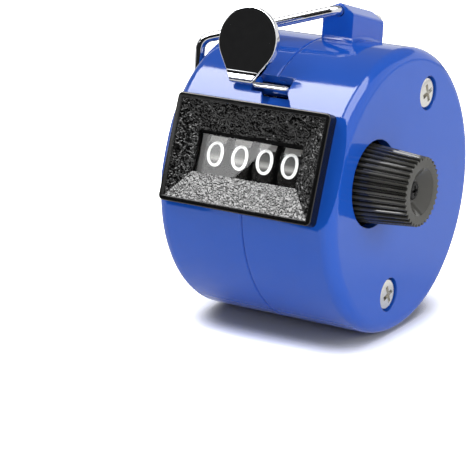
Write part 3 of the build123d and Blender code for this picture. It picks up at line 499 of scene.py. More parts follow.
bm = bmesh.new()
middle = Matrix.Translation((BEZEL_X, 0, (FRAME_LOW + FRAME_TOP) / 2))
size = Matrix.Diagonal((*FRAME_SIZE, FRAME_TOP - FRAME_LOW, 1))
bmesh.ops.create_cube(bm, size=1, matrix=middle @ size)
standing = [e for e in bm.edges if abs((e.verts[0].co - e.verts[1].co).z) > 1]
bm.normal_update()
top = max(bm.faces, key=lambda face: face.normal.z)
under = min(bm.faces, key=lambda face: face.normal.z)
top = step_face(bm, top, (LIP_INSIDE[0] + 2 * LIP_EDGE, LIP_INSIDE[1] + 2 * LIP_EDGE), 0.0)
top = step_face(bm, top, LIP_INSIDE, -LIP_EDGE)
top = step_face(bm, top, (LIP_INSIDE[0] - LIP_DRAFT, LIP_INSIDE[1] - LIP_DRAFT), -LIP_DEEP)
top = step_face(bm, top, WINDOW, WINDOW_AT - (FRAME_TOP - LIP_EDGE - LIP_DEEP), mark=BLACK_SLOPE)
for size, depth in ((PLUG, 0.0), (PLUG, PLUG_HIGH), (SEAT, 0.0), (SEAT, -PLUG_HIGH), (WINDOW, 0.0)):
    under = step_face(bm, under, size, depth)
# The upper wall of the opening is drafted, so it shows as a band over the wheels; its finish is painted near
# black, a painted shade of the deep opening
bmesh.ops.translate(bm, vec=(0, -WALL_DRAFT, 0), verts=[v for v in under.verts if v.co.y > 0])
ends = list(top.edges) + list(under.edges)
bmesh.ops.delete(bm, geom=[top, under], context="FACES_ONLY")
# The walls of the opening get the painted shade finish
for face in bmesh.ops.bridge_loops(bm, edges=ends)["faces"]:
    face.material_index = SHADE_WALL
bevelled(bm, standing, CORNER_ROUND, 8)
rim = [e for e in bm.edges if min(v.co.z for v in e.verts) > FRAME_TOP - 0.01]
rim = [e for e in rim if any(abs(face.normal.z) < 0.1 for face in e.link_faces)]
bevelled(bm, rim, RIM_ROUND, 6)
bmesh.ops.remove_doubles(bm, verts=bm.verts, dist=MM)
finished(
    "window_frame", bm, FRONT, [black_abs, eroded_glint_abs, painted_shade_abs], "housing", ["bezel"], 16
)

# %% [markdown]
# ## Number wheels
# Each wheel is a hollow drum with its digits round the rim, one every 36 degrees. The drum is one
# closed profile, spun once. The ratchet beside it is a saw-toothed disc. The digits from 1
# to 9 come from the built-in font, while the zero is a plain oval ring, as it is in the window.
# A flat digit is cut into strips, bent round the rim and given the thickness of the foil.

# %% Drums with their ratchets
WHEEL_R = 8.8
WHEEL_WIDE = 4.29
RIM_WIDE = 3.4
RIM_EDGE = 0.12
RIM_INSIDE = 7.9
WEB = 0.9
BORE_R, HUB_R, NECK_R = 2.05, 3.2, 5.0
RATCHET_WIDE = 0.5
WHEELS = {"thousands": -7.995, "hundreds": -3.565, "tens": 0.865, "units": 5.295}
TEETH = 10
TOOTH_FIRST = -15.0
TOOTH_R, ROOT_R, DEEP_ROOT_R = 7.2, 5.9, 5.2


def ratchet(bm, low, deep):
    """Saw-toothed disc of ten teeth; the deep one has one lower notch."""
    spots = []
    for tooth in range(TEETH):
        turn = math.radians(TOOTH_FIRST - tooth * 360 / TEETH)
        root = DEEP_ROOT_R if deep and tooth == 0 else ROOT_R
        for radius in (TOOTH_R, root):
            spots.append((low, math.sin(turn) * radius, -math.cos(turn) * radius + WHEEL_AXIS))
    prism(bm, spots, (RATCHET_WIDE, 0, 0))


for wheel, middle_x in WHEELS.items():
    low, high = middle_x - WHEEL_WIDE / 2, middle_x + WHEEL_WIDE / 2
    rim_low = high - RIM_WIDE
    neck = low + RATCHET_WIDE
    soft = 0.3 * RIM_EDGE
    bm = bmesh.new()
    profile = [
        (neck, BORE_R), (neck, NECK_R), (rim_low, NECK_R), (rim_low, WHEEL_R - RIM_EDGE),
        (rim_low + soft, WHEEL_R - soft), (rim_low + RIM_EDGE, WHEEL_R), (high - RIM_EDGE, WHEEL_R),
        (high - soft, WHEEL_R - soft), (high, WHEEL_R - RIM_EDGE), (high, RIM_INSIDE),
        (rim_low + WEB, RIM_INSIDE), (rim_low + WEB, HUB_R), (high, HUB_R), (high, BORE_R),
    ]
    turned(bm, profile, out=WHEEL_AXIS, steps=120, closed=True)
    ratchet(bm, low, wheel != "thousands")
    body = f"wheel_{wheel}"
    finished(body, bm, FRONT, [wheel_black], body, [f"number_wheel_{wheel}"], 25)

# %% Digits
DIGIT_WIDE, DIGIT_HIGH = 2.95, 3.9
STROKE_SIDE, STROKE_END = 0.53, 0.46
DIGIT_SHIFT = 0.2
FOIL = 0.03
STRIP = 0.2
FONT_BOLDER, FONT_WIDE, FONT_STRETCH = 0.008, 0.92, 1.1


def oval(bm, side, end):
    """Oval with slightly straight sides, as wide and high as a digit less its insets; returns its edges."""
    ring = bmesh.ops.create_circle(bm, segments=72, radius=1)["verts"]
    for vert in ring:
        for axis in (0, 1):
            vert.co[axis] = math.copysign(abs(vert.co[axis]) ** 0.95, vert.co[axis])
    size = Matrix.Diagonal((DIGIT_WIDE / 2 - side, DIGIT_HIGH / 2 - end, 1, 1))
    bmesh.ops.transform(bm, matrix=size, verts=ring)
    return list({edge for vert in ring for edge in vert.link_edges})


def flat_digit(value):
    """Flat mesh of one digit, centred, with the height and width of the stamped ones."""
    bm = bmesh.new()
    if value == 0:
        rings = []
        for side, end in ((0, 0), (STROKE_SIDE, STROKE_END)):
            rings += oval(bm, side, end)
        bmesh.ops.bridge_loops(bm, edges=rings)
        return bm
    words = bpy.data.curves.new("digit", "FONT")
    words.body = str(value)
    words.resolution_u = 4
    words.offset = FONT_BOLDER
    holder = in_scene("digit", words)
    shape = worked_out(holder)
    bm.from_mesh(shape)
    bpy.data.objects.remove(holder)
    bpy.data.meshes.remove(shape)
    bmesh.ops.remove_doubles(bm, verts=bm.verts, dist=0.0001)
    spots = [v.co for v in bm.verts]
    low = Vector((min(p.x for p in spots), min(p.y for p in spots), 0))
    high = Vector((max(p.x for p in spots), max(p.y for p in spots), 0))
    tall = DIGIT_HIGH / (high.y - low.y)
    wide = min(DIGIT_WIDE * FONT_WIDE / (high.x - low.x), tall * FONT_STRETCH)
    middle = Matrix.Translation((low + high) / -2)
    bmesh.ops.transform(bm, matrix=Matrix.Diagonal((wide, tall, 1, 1)) @ middle, verts=bm.verts)
    return bm


def onto_rim(bm, turn, middle_x):
    """Cuts a flat shape into strips, bends it round the rim and gives it the foil's thickness."""
    high = max(v.co.y for v in bm.verts)
    low = min(v.co.y for v in bm.verts)
    cuts = max(2, int((high - low) / STRIP))
    for cut in range(1, cuts):
        level = (0, low + (high - low) * cut / cuts, 0)
        whole = bm.verts[:] + bm.edges[:] + bm.faces[:]
        bmesh.ops.bisect_plane(bm, geom=whole, plane_co=level, plane_no=(0, 1, 0))
    for face in bm.faces:
        if face.normal.z < 0:
            face.normal_flip()
    base = WHEEL_R - FOIL / 2
    for vert in bm.verts:
        angle = vert.co.y / WHEEL_R + turn
        vert.co = (vert.co.x + middle_x, math.sin(angle) * base, math.cos(angle) * base + WHEEL_AXIS)
    back = bmesh.ops.extrude_face_region(bm, geom=bm.faces[:])["geom"]
    for vert in verts_in(back):
        away = (vert.co - Vector((vert.co.x, 0, WHEEL_AXIS))).normalized()
        vert.co += away * FOIL
    return mesh_of(bm, "print")


def printed(kind, wheel, flats, finish):
    """One piece on a wheel from flat shapes, print or painted light, each with the turn at which it sits on the
    rim.
    """
    rim_middle = WHEELS[wheel] + (WHEEL_WIDE - RIM_WIDE) / 2 + DIGIT_SHIFT
    bm = joined([onto_rim(flat, turn, rim_middle) for flat, turn in flats])
    finished(f"{kind}_{wheel}", bm, FRONT, [finish], f"wheel_{wheel}", crease=40)


for wheel in WHEELS:
    digits = [(flat_digit(value), -value * FULL_TURN / TEETH) for value in range(TEETH)]
    printed("digits", wheel, digits, white_foil)

# %% [markdown]
# ## Painted highlight and reflection on the wheels
# Two areas on each wheel are painted in grey that fades: a bar above the zero, a painted highlight
# of the overhead light on the rim, and the field inside the zero, a painted reflection. Each gets a UV map
# whose v runs from its lower to its upper edge before it is bent, so the finish can fade along the piece
# wherever it sits on the rim.


# %% Painted highlight bars and the painted reflection in the zero
BAR_WIDE = 2.95
BAR_FROM, BAR_TO = math.radians(11.5), math.radians(18)


def fading(bm):
    """Gives a flat shape a UV map that runs once from its lower to its upper edge."""
    layer = bm.loops.layers.uv.new("UVMap")
    low, high = min(v.co.y for v in bm.verts), max(v.co.y for v in bm.verts)
    for face in bm.faces:
        for loop in face.loops:
            loop[layer].uv = (0.5, (loop.vert.co.y - low) / (high - low))
    return bm


def flat_bar():
    """Flat grey bar, centred."""
    bm = bmesh.new()
    size = Matrix.Diagonal((BAR_WIDE, (BAR_TO - BAR_FROM) * WHEEL_R, 1, 1))
    bmesh.ops.create_grid(bm, x_segments=1, y_segments=1, size=0.5, matrix=size)
    return fading(bm)


def flat_field():
    """Flat oval that fills the zero."""
    bm = bmesh.new()
    bmesh.ops.contextual_create(bm, geom=oval(bm, STROKE_SIDE - 0.02, STROKE_END - 0.02))
    return fading(bm)


for wheel in WHEELS:
    printed("bar", wheel, [(flat_bar(), (BAR_FROM + BAR_TO) / 2)], painted_highlight_bar)
    printed("field", wheel, [(flat_field(), 0)], painted_reflection_field)

# %% [markdown]
# ## Thumb lever
# One piece of chromed sheet steel: an arm comes out of the slot, and at its left a turned bend
# leads up into the neck and the round thumb disc. The disc and its neck are the hull of a circle
# and the neck's foot. Stamped edges are never knife sharp, and their rounding
# draws the bright rim round the dark mirror of the disc, so every sharp edge is bevelled.

# %% Thumb lever
SHEET = 1.15
ARM_UP = math.radians(51)
BEND_R = 23.5
DISC_LEAN = math.radians(15)
DISC = (-4.5, 6.05, 5.15)
NECK_LEFT, NECK_RIGHT = -6.85, -2.6
ARM_LEFT, ARM_RIGHT, ARM_END, ARM_SLANT = -2.9, 3.1, 23.25, 0.3
FOOT_HIGH, FOOT_CURVE = 1.5, 0.16
DISC_ROUND, ARM_ROUND, BEND_ROUND, CHEEK_ROUND = 0.22, 0.42, 0.12, 0.15
PIVOT_OUT, PIVOT_UP, PIVOT_HUB_R, PIVOT_BORE_R = 15.9, 9.3, 1.6, 0.95
CHEEKS, CHEEK_R, CHEEK_WIDE = (-11.3, 7.8), 1.8, 1.0
CHEEK_REAR = (2.0, 7.5, CHEEK_R)
arm_out = Vector((0, -math.cos(ARM_UP), math.sin(ARM_UP)))
bend_at = CENTRE + arm_out * BEND_R
parts = []


def lever_part(build, matrix, round_off=0):
    """Makes one plate of the lever in its own workplane and keeps its mesh."""
    bm = bmesh.new()
    build(bm)
    if round_off:
        rounded(bm, round_off)
    bmesh.ops.transform(bm, matrix=matrix, verts=bm.verts)
    bmesh.ops.recalc_face_normals(bm, faces=bm.faces)
    parts.append(mesh_of(bm, "lever part"))


def arm_outline(bm):
    """The arm that comes out through the slot, as one flat piece."""
    reach = math.hypot(PIVOT_OUT, PIVOT_UP)
    spots = [(ARM_LEFT, reach), (ARM_RIGHT, reach), (ARM_RIGHT, ARM_END), (ARM_LEFT, ARM_END)]
    prism(bm, [(x, y, -SHEET / 2) for x, y in spots], (0, 0, SHEET))
    # The punch leaves the outer edge a little slanted
    outer = [v for v in bm.verts if v.co.y > ARM_END - ARM_SLANT and v.co.z < 0]
    bmesh.ops.translate(bm, vec=(0, -ARM_SLANT, 0), verts=outer)


def disc_outline(bm):
    """The disc and its neck as one plate, whose foot curves forward into the bend."""
    stamped(bm, [DISC], [(NECK_LEFT, 0), (NECK_RIGHT, 0)], SHEET)
    rounded(bm, DISC_ROUND)
    for level in (FOOT_HIGH, 1.2, 0.9, 0.6, 0.3):
        whole = bm.verts[:] + bm.edges[:] + bm.faces[:]
        bmesh.ops.bisect_plane(bm, geom=whole, plane_co=(0, level, 0), plane_no=(0, 1, 0))
    for vert in bm.verts:
        vert.co.z += FOOT_CURVE * max(0, FOOT_HIGH - vert.co.y) ** 2


def bend(bm):
    """The bend between arm and disc, turned about the bend's line."""
    half, edge = SHEET / 2, BEND_ROUND
    left = [(NECK_LEFT, 0), (NECK_LEFT, half - edge), (NECK_LEFT + edge, half)]
    right = [(NECK_RIGHT - edge, half), (NECK_RIGHT, half - edge), (NECK_RIGHT, 0)]
    turned(bm, left + right, steps=48)


def cheek(bm):
    """Inner arm from the pivot to the pawl's pin."""
    stamped(bm, [(-PIVOT_OUT, PIVOT_UP, CHEEK_R), CHEEK_REAR], [], CHEEK_WIDE)


def hub(bm):
    """Tube round the pivot, from one cheek to the other."""
    left, right = CHEEKS[0], CHEEKS[1] + CHEEK_WIDE
    profile = [(left, PIVOT_BORE_R), (left, PIVOT_HUB_R), (right, PIVOT_HUB_R), (right, PIVOT_BORE_R)]
    turned(bm, profile, up=PIVOT_UP, out=PIVOT_OUT, steps=48, closed=True)


lever_part(disc_outline, placed(math.pi / 2 - DISC_LEAN, bend_at))
lever_part(arm_outline, placed(math.pi - ARM_UP, CENTRE), ARM_ROUND)
lever_part(bend, placed(0, bend_at))
for start in CHEEKS:
    side_place = Matrix.Translation((start + CHEEK_WIDE / 2, 0, 0))
    lever_part(cheek, FRONT @ side_place @ Matrix.Rotation(math.pi / 2, 4, "Y"), CHEEK_ROUND)
lever_part(hub, FRONT)
lever = finished(
    "thumb_lever_chromed", joined(parts), Matrix.Identity(4), [chrome], "lever", ["thumb_lever"],
    35,
)
even_shading(lever)

# %% [markdown]
# ## Finger ring
# A chromed wire, hooked into the lug at both ends and bent at eight corners. It follows
# the same corners as the solid. Each corner becomes a short arc, and a curve with a round bevel
# sweeps the wire along the path. It is turned into a mesh so that it exports as it looks.

# %% Finger ring
RING_SLOPE = math.radians(16)
ring_axis = Vector((0, math.cos(RING_SLOPE), -math.sin(RING_SLOPE)))
ring_up = Vector((0, math.sin(RING_SLOPE), math.cos(RING_SLOPE)))
ring_corner = CENTRE + Vector((2.83, 0.32, 27.27))
RING_SPAN, RING_DROP, RING_FLARE = 14.2, math.radians(20.2), math.radians(15)
LEG, SIDE, TAPER, SIDE_IN, TAPER_IN, HOOK = 22.2, 7.0, 8.0, 1.2, 5.0, 5.0
WIRE_R = 0.8
BENDS = [1.2, 2.2, 5.0, 5.0, 5.0, 5.0, 2.2, 1.2]


def ring_point(far, leg, side, drop, along=0):
    """Corner of the ring: far is 1 on the rear wire, -1 on the front one."""
    reach, spread = leg * math.cos(RING_FLARE), leg * math.sin(RING_FLARE) - side + along
    place = ring_corner + ring_axis * (RING_SPAN / 2) - Vector((reach * math.cos(RING_DROP), 0, 0))
    return place - ring_up * (reach * math.sin(RING_DROP) + drop) + ring_axis * (far * (RING_SPAN / 2 + spread))


def arc_corner(before, corner, after, radius, steps=14):
    """Points of the arc that rounds one corner of the wire."""
    to_before, to_after = (before - corner).normalized(), (after - corner).normalized()
    half = to_before.angle(to_after) / 2
    middle = corner + (to_before + to_after).normalized() * (radius / math.sin(half))
    spoke = corner + to_before * (radius / math.tan(half)) - middle
    turn = math.pi - 2 * half
    about = spoke.cross(corner + to_after * (radius / math.tan(half)) - middle).normalized()
    return [middle + Matrix.Rotation(turn * step / steps, 3, about) @ spoke for step in range(steps + 1)]


half_ring = [
    (0, 0, 0, -HOOK), (0, 0, 0, 0), (LEG, 0, 0, 0), (LEG, SIDE_IN, SIDE, 0),
    (LEG, SIDE_IN + TAPER_IN, SIDE + TAPER, 0),
]
corners = [ring_point(-1, *spot) for spot in half_ring]
corners += [ring_point(1, *spot) for spot in reversed(half_ring)]
path = [corners[0]]
for place, radius in enumerate(BENDS, start=1):
    path += arc_corner(corners[place - 1], corners[place], corners[place + 1], radius)
path.append(corners[-1])
wire = bpy.data.curves.new("wire", "CURVE")
wire.dimensions = "3D"
wire.bevel_depth = WIRE_R * MM
wire.bevel_resolution = 7
wire.use_fill_caps = True
line = wire.splines.new("POLY")
line.points.add(len(path) - 1)
for point, spot in zip(line.points, path):
    point.co = (*(spot * MM), 1)
holder = in_scene("wire", wire)
mesh = worked_out(holder)
bpy.data.objects.remove(holder)
bm = joined([mesh])
bmesh.ops.remove_doubles(bm, verts=bm.verts, dist=MM * MM)
finished(
    "finger_ring_wire", bm, Matrix.Identity(4), [chrome], "ring", ["finger_ring"], 50
)

# %% [markdown]
# ## Reset knob
# A tapering grip with 36 flat-topped ridges and a cup in its end for the screw. Its outline
# starts as a circle whose points are pulled in towards each groove, and the edge ring is then
# extruded along the knob and scaled a little at each step, like a turned piece with a ridged section.

# %% Reset knob
RIDGES = 36
POINTS = 8
KNOB_R, KNOB_END_R = 6.15, 5.3
RIDGE_DEEP = 0.46
RIDGE_STEEP = 1.8
KNOB_FROM, KNOB_LONG, TAPER_STEPS = 14.0, 9.73, 6
MATT_FROM = 23.7
# Each step says how far forward the edge ring goes, its scale, and its radius where it is round
BACK_STEPS = [
    (-0.12, 0.985, 0), (-0.02, 5.6 / 6.0, 0), (-1.86, 1, 5.6), (0, 1, 4.5), (8.0, 1, 4.5),
    (0, 1, 2.9), (-8.0, 1, 2.9), (0, 1, 1.8), (7.5, 1, 1.8),
]
taper = (KNOB_END_R / KNOB_R) ** (1 / TAPER_STEPS)
FRONT_STEPS = [(KNOB_LONG / TAPER_STEPS, taper, 0)] * TAPER_STEPS + [
    (0.08, 0.996, 0), (0.04, 0.992, 0), (0, 1, 4.7), (0, 1, 3.75), (-0.06, 1, 3.62), (-1.84, 1, 2.05),
    (-0.1, 1, 1.9), (0, 1, 0.7), (-1.8, 1, 0.7),
]


def ring_of(verts):
    """Edges that join a set of points."""
    inside = set(verts)
    return list({e for v in verts for e in v.link_edges if e.other_vert(v) in inside})


def grow(bm, edges, forward, scale, round_up):
    """Extrudes a ring of edges along the knob and scales it about the axis."""
    geom = bmesh.ops.extrude_edge_only(bm, edges=edges)["geom"]
    for vert in verts_in(geom):
        vert.co.x += forward
        vert.co.y *= scale
        vert.co.z = (vert.co.z - WHEEL_AXIS) * scale + WHEEL_AXIS
        if round_up:
            spoke = Vector((0, vert.co.y, vert.co.z - WHEEL_AXIS))
            flat = spoke.normalized() * round_up
            vert.co = Vector((vert.co.x, flat.y, flat.z + WHEEL_AXIS))
    return [item for item in geom if isinstance(item, bmesh.types.BMEdge)]


bm = bmesh.new()
turn_up = Matrix.Translation((KNOB_FROM, 0, WHEEL_AXIS)) @ Matrix.Rotation(math.pi / 2, 4, "Y")
start = bmesh.ops.create_circle(bm, segments=RIDGES * POINTS, radius=KNOB_R, matrix=turn_up)["verts"]
for vert in start:
    spoke = Vector((0, vert.co.y, vert.co.z - WHEEL_AXIS))
    wave = RIDGE_STEEP * math.sin(math.atan2(spoke.y, spoke.z) * RIDGES)
    spoke *= 1 - RIDGE_DEEP / KNOB_R * (1 - max(-1, min(1, wave))) / 2
    vert.co = (vert.co.x, spoke.y, spoke.z + WHEEL_AXIS)
front_ring = ring_of(start)
for steps in (BACK_STEPS, FRONT_STEPS):
    edges = front_ring
    for step in steps:
        edges = grow(bm, edges, *step)
    bmesh.ops.holes_fill(bm, edges=edges)
bm.normal_update()
for face in bm.faces:
    if abs(face.normal.x) > 0.9 and face.calc_center_median().x > MATT_FROM:
        face.material_index = 1
knob = finished(
    "reset_knob_ridged", bm, FRONT, [knob_abs, matt_abs], "shaft", ["reset_knob"], 38
)
even_shading(knob)

# %% [markdown]
# ## Screws
# Pan-head screws with a cross recess. The head is a turned profile with a low dome, and the recess
# is cut with two crossed wedges that narrow downwards, as the driver's tip does.


# %% Screws
SHOULDER = 0.68
DOME_FLAT = 0.28
RECESS_SLIM, RECESS_LONG = 0.17, 0.68
RECESS_MOUTH, RECESS_FLOOR, RECESS_TAPER = 1.4, 0.12, 0.55


def cut_out(piece, bm):
    """Cuts a shape, given in the frame, out of a piece."""
    cutter = in_scene("cutter", mesh_of(bm, "cutter"))
    cut = piece.modifiers.new("cut", "BOOLEAN")
    cut.object, cut.operation, cut.solver = cutter, "DIFFERENCE", "EXACT"
    result = worked_out(piece)
    piece.modifiers.clear()
    piece.data = result
    bpy.data.objects.remove(cutter)
    print(f"{piece.name}: {len(result.polygons)} faces after the cut")


def cross_screw(name, spots, turn, finish, body, node, seat, tip, shank, head, high):
    """Screws of one size at places (up, out) on the front workplane."""
    bm = bmesh.new()
    angles = [math.radians(step * 9) for step in range(9)]
    rise = 1 - SHOULDER
    dome = [(seat + high * (SHOULDER + rise * math.sin(a)), head * math.cos(a) ** 0.5) for a in angles]
    dome += [(seat + high, head * DOME_FLAT), (seat + high, 0)]
    for up, out in spots:
        turned(bm, [(tip, 0), (tip + shank / 2, shank), (seat, shank), (seat, head)] + dome, up, out, 64)
    piece = finished(name, bm, FRONT, [finish], body, [node], 35)
    wedges = bmesh.new()
    slim, long = head * RECESS_SLIM, head * RECESS_LONG
    star = [(long, -slim), (long, slim), (slim, slim), (slim, long), (-slim, long), (-slim, slim)]
    star += [(-y, -z) for y, z in star]
    for up, out in spots:
        mouth_at = Matrix.Translation((seat + high * RECESS_MOUTH, up, out)) @ Matrix.Rotation(turn, 4, "X")
        mouth = wedges.faces.new([wedges.verts.new(mouth_at @ Vector((0, y, z))) for y, z in star])
        deep = bmesh.ops.extrude_face_region(wedges, geom=[mouth])["geom"]
        middle = Vector((seat + high * RECESS_FLOOR, up, out))
        for vert in verts_in(deep):
            spoke = Vector((0, vert.co.y - up, vert.co.z - out))
            vert.co = middle + spoke * RECESS_TAPER
    bmesh.ops.transform(wedges, matrix=FRONT, verts=wedges.verts)
    bmesh.ops.recalc_face_normals(wedges, faces=wedges.faces)
    cut_out(piece, wedges)


cross_screw(
    "casing_screws_cross", [(16.0, -1.45), (-16.0, -1.45)], math.radians(38), nickel,
    "housing", "casing_screws", seat=14.4, tip=4.0, shank=1.0, head=2.45, high=1.2,
)
cross_screw(
    "knob_screw_cross", [(0, WHEEL_AXIS)], math.radians(20), black_steel,
    "shaft", "knob_screw", seat=21.85, tip=16.0, shank=0.7, head=1.4, high=0.8,
)

# %% [markdown]
# ## Inner parts
# Plates, bars, pins, combs and springs of the mechanism keep their solids, because their shapes are
# right and they lie inside. Each takes the metal that such a part is made of.

# %% Inner finishes
INNER = {
    zinc: [
        "frame_left", "frame_right", "frame_spacers", "reset_shaft", "lever_pivot", "pawl_pin", "detent_rod",
    ],
    spring_steel: ["pawl_comb", "detent_comb", "return_spring", "pawl_spring", "shaft_clip"],
    brass: ["shaft_bush_left", "shaft_bush_right", "shaft_collars"],
    acrylic: ["lens"],
}
for finish, names in INNER.items():
    for name in names:
        mesh = frame["nodes"][name].data
        mesh.materials.clear()
        mesh.materials.append(finish)
print("inner nodes dressed:", sum(len(names) for names in INNER.values()))

# %% [markdown]
# ## Studio
# The photograph is a product shot on white: a long softbox overhead to the left draws the pale
# patch on the top of the barrel, and the front is kept dark so that chrome and black plastic
# stay deep. Lamps light the colours evenly, while cards that only reflections see give the gloss its
# shapes. One card's slanted edge crosses the window as the diagonal glare. The paper darkens
# close to the counter, where its own shadow gathers, and looks pure white elsewhere.


# %% Floor
def stage_face(name, spots, finish):
    """Flat studio surface from its corners, in metres."""
    bm = bmesh.new()
    bm.faces.new([bm.verts.new(spot) for spot in spots])
    mesh = mesh_of(bm, name)
    mesh.materials.append(finish)
    piece = in_scene(name, mesh)
    print("stage:", name)
    return piece


floor_finish, tree, surface, where = new_finish("paper_white")
fibre = speckle(tree, where, 30, 2)
tone = two_colours(tree, fibre, "Fac", "#f6f6f6", "#fafafa")
# Painted contact shadow: for camera rays an ambient-occlusion node darkens the paper's colour close to the
# counter
nearness = add_node(tree, "ShaderNodeAmbientOcclusion", {"samples": 16, "Distance": 7 * MM})
depth = two_colours(tree, nearness, "AO", "#706f6a", "#ffffff", 0.35, 0.95)
rays = add_node(tree, "ShaderNodeLightPath")
# Sockets 6 and 7 and output 2 of a Mix node are its colours
seen_painted_shadow = add_node(tree, "ShaderNodeMix", {"data_type": "RGBA"}, {"Factor": (rays, "Is Camera Ray")})
seen_painted_shadow.inputs[6].default_value = linear("#ffffff")
tree.links.new(depth.outputs["Color"], seen_painted_shadow.inputs[7])
shaded = add_node(tree, "ShaderNodeVectorMath", {"operation": "MULTIPLY"})
tree.links.new(tone.outputs["Color"], shaded.inputs[0])
tree.links.new(seen_painted_shadow.outputs[2], shaded.inputs[1])
lift = between(tree, rays, "Is Camera Ray", 1.0, 2.8)
lifted = add_node(tree, "ShaderNodeVectorMath", {"operation": "SCALE"}, {"Scale": (lift, "Result")})
tree.links.new(shaded.outputs["Vector"], lifted.inputs[0])
paper = add_node(tree, "ShaderNodeBsdfDiffuse", links={"Color": (lifted, "Vector")})
tree.links.new(paper.outputs["BSDF"], tree.nodes["Material Output"].inputs["Surface"])
FLOOR = 3.0
floor_spots = [(-FLOOR, -FLOOR, 0), (FLOOR, -FLOOR, 0), (FLOOR, FLOOR, 0), (-FLOOR, FLOOR, 0)]
stage_face("floor", floor_spots, floor_finish)

# %% World
SKY_AS_LIGHT, SKY_SEEN = 0.25, 1.0
world = bpy.data.worlds.new("studio")
bpy.context.scene.world = world
world.use_nodes = True
tree = world.node_tree
tree.nodes.clear()
rays = add_node(tree, "ShaderNodeLightPath")
seen = add_node(tree, "ShaderNodeMath", {"operation": "MAXIMUM"})
tree.links.new(rays.outputs["Is Camera Ray"], seen.inputs[0])
tree.links.new(rays.outputs["Is Glossy Ray"], seen.inputs[1])
seen_more = add_node(tree, "ShaderNodeMath", {"operation": "MAXIMUM"})
tree.links.new(seen.outputs[0], seen_more.inputs[0])
tree.links.new(rays.outputs["Is Transmission Ray"], seen_more.inputs[1])
level = between(tree, seen_more, "Value", SKY_AS_LIGHT, SKY_SEEN)
sky = add_node(tree, "ShaderNodeBackground", {"Color": linear("#ffffff")}, {"Strength": (level, "Result")})
add_node(tree, "ShaderNodeOutputWorld", links={"Surface": (sky, "Background")})
print("world:", world.name)

# %% Cards that only reflections see
CAMERA_AT = Vector((0.16647, -0.28257, 0.0926 + AXIS_HIGH * MM))
MIRROR_SIDE, MIRROR_OUT = -0.517, 0.856
GLARE_EDGE = [Vector((1.17, -19.2, 8.3)), Vector((-2.46, -20.58, 4.71))]
GLARE_AWAY = 0.85
GLARE_WIDE = Vector((-0.28, 0.14, 0))


def glowing(name, strength):
    """Card finish that gives off plain white light."""
    finish = bpy.data.materials.new(name)
    finish.use_nodes = True
    tree = finish.node_tree
    tree.nodes.clear()
    glow = add_node(tree, "ShaderNodeEmission", {"Color": linear("#ffffff"), "Strength": strength})
    add_node(tree, "ShaderNodeOutputMaterial", links={"Surface": (glow, "Emission")})
    return finish


def card(name, spots, finish):
    """Surface that is hidden from everything but reflections."""
    piece = stage_face(name, spots, finish)
    piece.visible_camera = piece.visible_diffuse = piece.visible_shadow = False


def around(azimuth, elevation, distance):
    """Point round the object: azimuth 0 is in front, positive to the right."""
    az, el = math.radians(azimuth), math.radians(elevation)
    away = Vector((math.sin(az) * math.cos(el), -math.cos(az) * math.cos(el), math.sin(el)))
    return away * distance + CENTRE * MM


def facing_card(name, middle, wide, high, finish):
    """Card at a place that faces the object, wide sideways and high upwards."""
    out = (middle - CENTRE * MM).normalized()
    side = Vector((0, 0, 1)).cross(out).normalized()
    upward = out.cross(side)
    signs = ((-1, -1), (1, -1), (1, 1), (-1, 1))
    card(name, [middle + side * a * wide / 2 + upward * b * high / 2 for a, b in signs], finish)


def barrel_sees(angle, reach):
    """Point that the barrel mirrors to the camera, from the front (0) over the top to the back (180)."""
    turn = math.radians(angle)
    away = Vector((MIRROR_SIDE, -MIRROR_OUT * math.cos(turn), MIRROR_OUT * math.sin(turn)))
    return away * reach + CENTRE * MM


def overhead_card(name, start, end, reach, half_wide, finish, shift=0.0):
    """Card over the barrel between two angles of what the barrel mirrors, moved along it by a shift."""
    near, far, side = barrel_sees(start, reach), barrel_sees(end, reach), Vector((half_wide, 0, 0))
    near, far = near + Vector((shift, 0, 0)), far + Vector((shift, 0, 0))
    card(name, [near - side, near + side, far + side, far - side], finish)


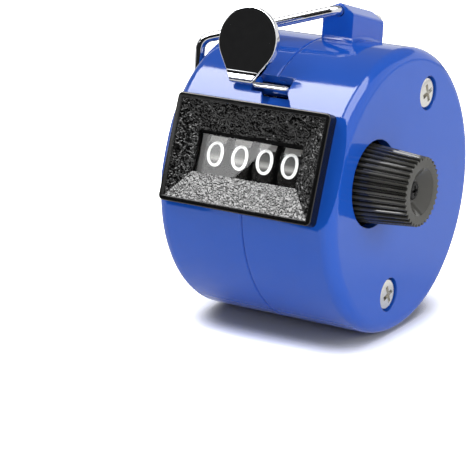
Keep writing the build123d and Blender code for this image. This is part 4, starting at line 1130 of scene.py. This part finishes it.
overhead_card("softbox_card", 41, 96, 0.5, 0.14, glowing("softbox_glow", 11))
overhead_card("dark_ceiling", 92, 160, 0.9, 0.9, glowing("ceiling_dusk", 0.3))
black_velvet = glowing("black_velvet", 0.02)
facing_card("dark_flag", around(-25, 17, 1.05), 2.5, 0.74, black_velvet)
facing_card("dark_flag_high", around(6, 47, 1.0), 0.5, 0.4, black_velvet)
low_left, low_right = (-0.3, -0.17, 0.0005), (0.12, -0.17, 0.0005)
card("dark_flag_table", [low_left, low_right, (0.12, -0.17, 0.05), (-0.3, -0.17, 0.05)], black_velvet)
overhead_card("softbox_right", 55, 104, 0.6, 0.195, glowing("right_glow", 6), 0.475)

# The glare: the edge of this card goes through what two points of the window mirror
mirror = (FRONT.to_3x3() @ Vector((0, 0, 1))).normalized()
edge_points = []
for spot in GLARE_EDGE:
    seen_from = (CAMERA_AT - (spot + CENTRE) * MM).normalized()
    ray = mirror * (2 * mirror.dot(seen_from)) - seen_from
    edge_points.append((spot + CENTRE) * MM + ray * GLARE_AWAY)
along = edge_points[0] - edge_points[1]
upper, lower = edge_points[0] + along * 0.5, edge_points[1] - along * 0.5
glare_spots = [lower, upper, upper + GLARE_WIDE, lower + GLARE_WIDE]
card("glare_card", glare_spots, glowing("glare_glow", 2.8))


# %% Lamps
def lamp(name, azimuth, elevation, distance, size, power):
    """Soft area lamp that looks at the object and that no reflection shows."""
    light = bpy.data.lights.new(name, "AREA")
    light.shape = "SQUARE"
    light.size = size
    light.energy = power
    holder = in_scene(name, light)
    holder.location = around(azimuth, elevation, distance)
    holder.rotation_euler = (CENTRE * MM - holder.location).to_track_quat("-Z", "Y").to_euler()
    holder.visible_glossy = False
    print(f"lamp: {name}, {power} W")


lamp("key_lamp", -70, 55, 0.6, 0.35, 1.6)
lamp("front_lamp", 10, 20, 0.8, 0.5, 1.4)
lamp("side_lamp", 80, 25, 0.8, 0.5, 4.0)
lamp("back_lamp", 180, 45, 0.8, 0.5, 1.3)

# %% [markdown]
# ## Camera
# The camera was fitted to the photograph: 33 degrees round to the right, 17 degrees
# above, about 340 mm away, with a long lens.

# %% Camera
SENSOR, FOCAL = 36, 164.13
CAMERA_DOWN, CAMERA_ROUND = math.radians(72.69), math.radians(32.79)
lens = bpy.data.cameras.new("camera")
lens.sensor_width = SENSOR
lens.lens = FOCAL
lens.clip_start = 0.01
camera = in_scene("camera", lens)
camera.location = CAMERA_AT
camera.rotation_euler = (CAMERA_DOWN, 0, CAMERA_ROUND)
bpy.context.scene.camera = camera
bpy.context.scene.view_settings.view_transform = "Standard"
print("camera:", lens.lens, "mm lens")
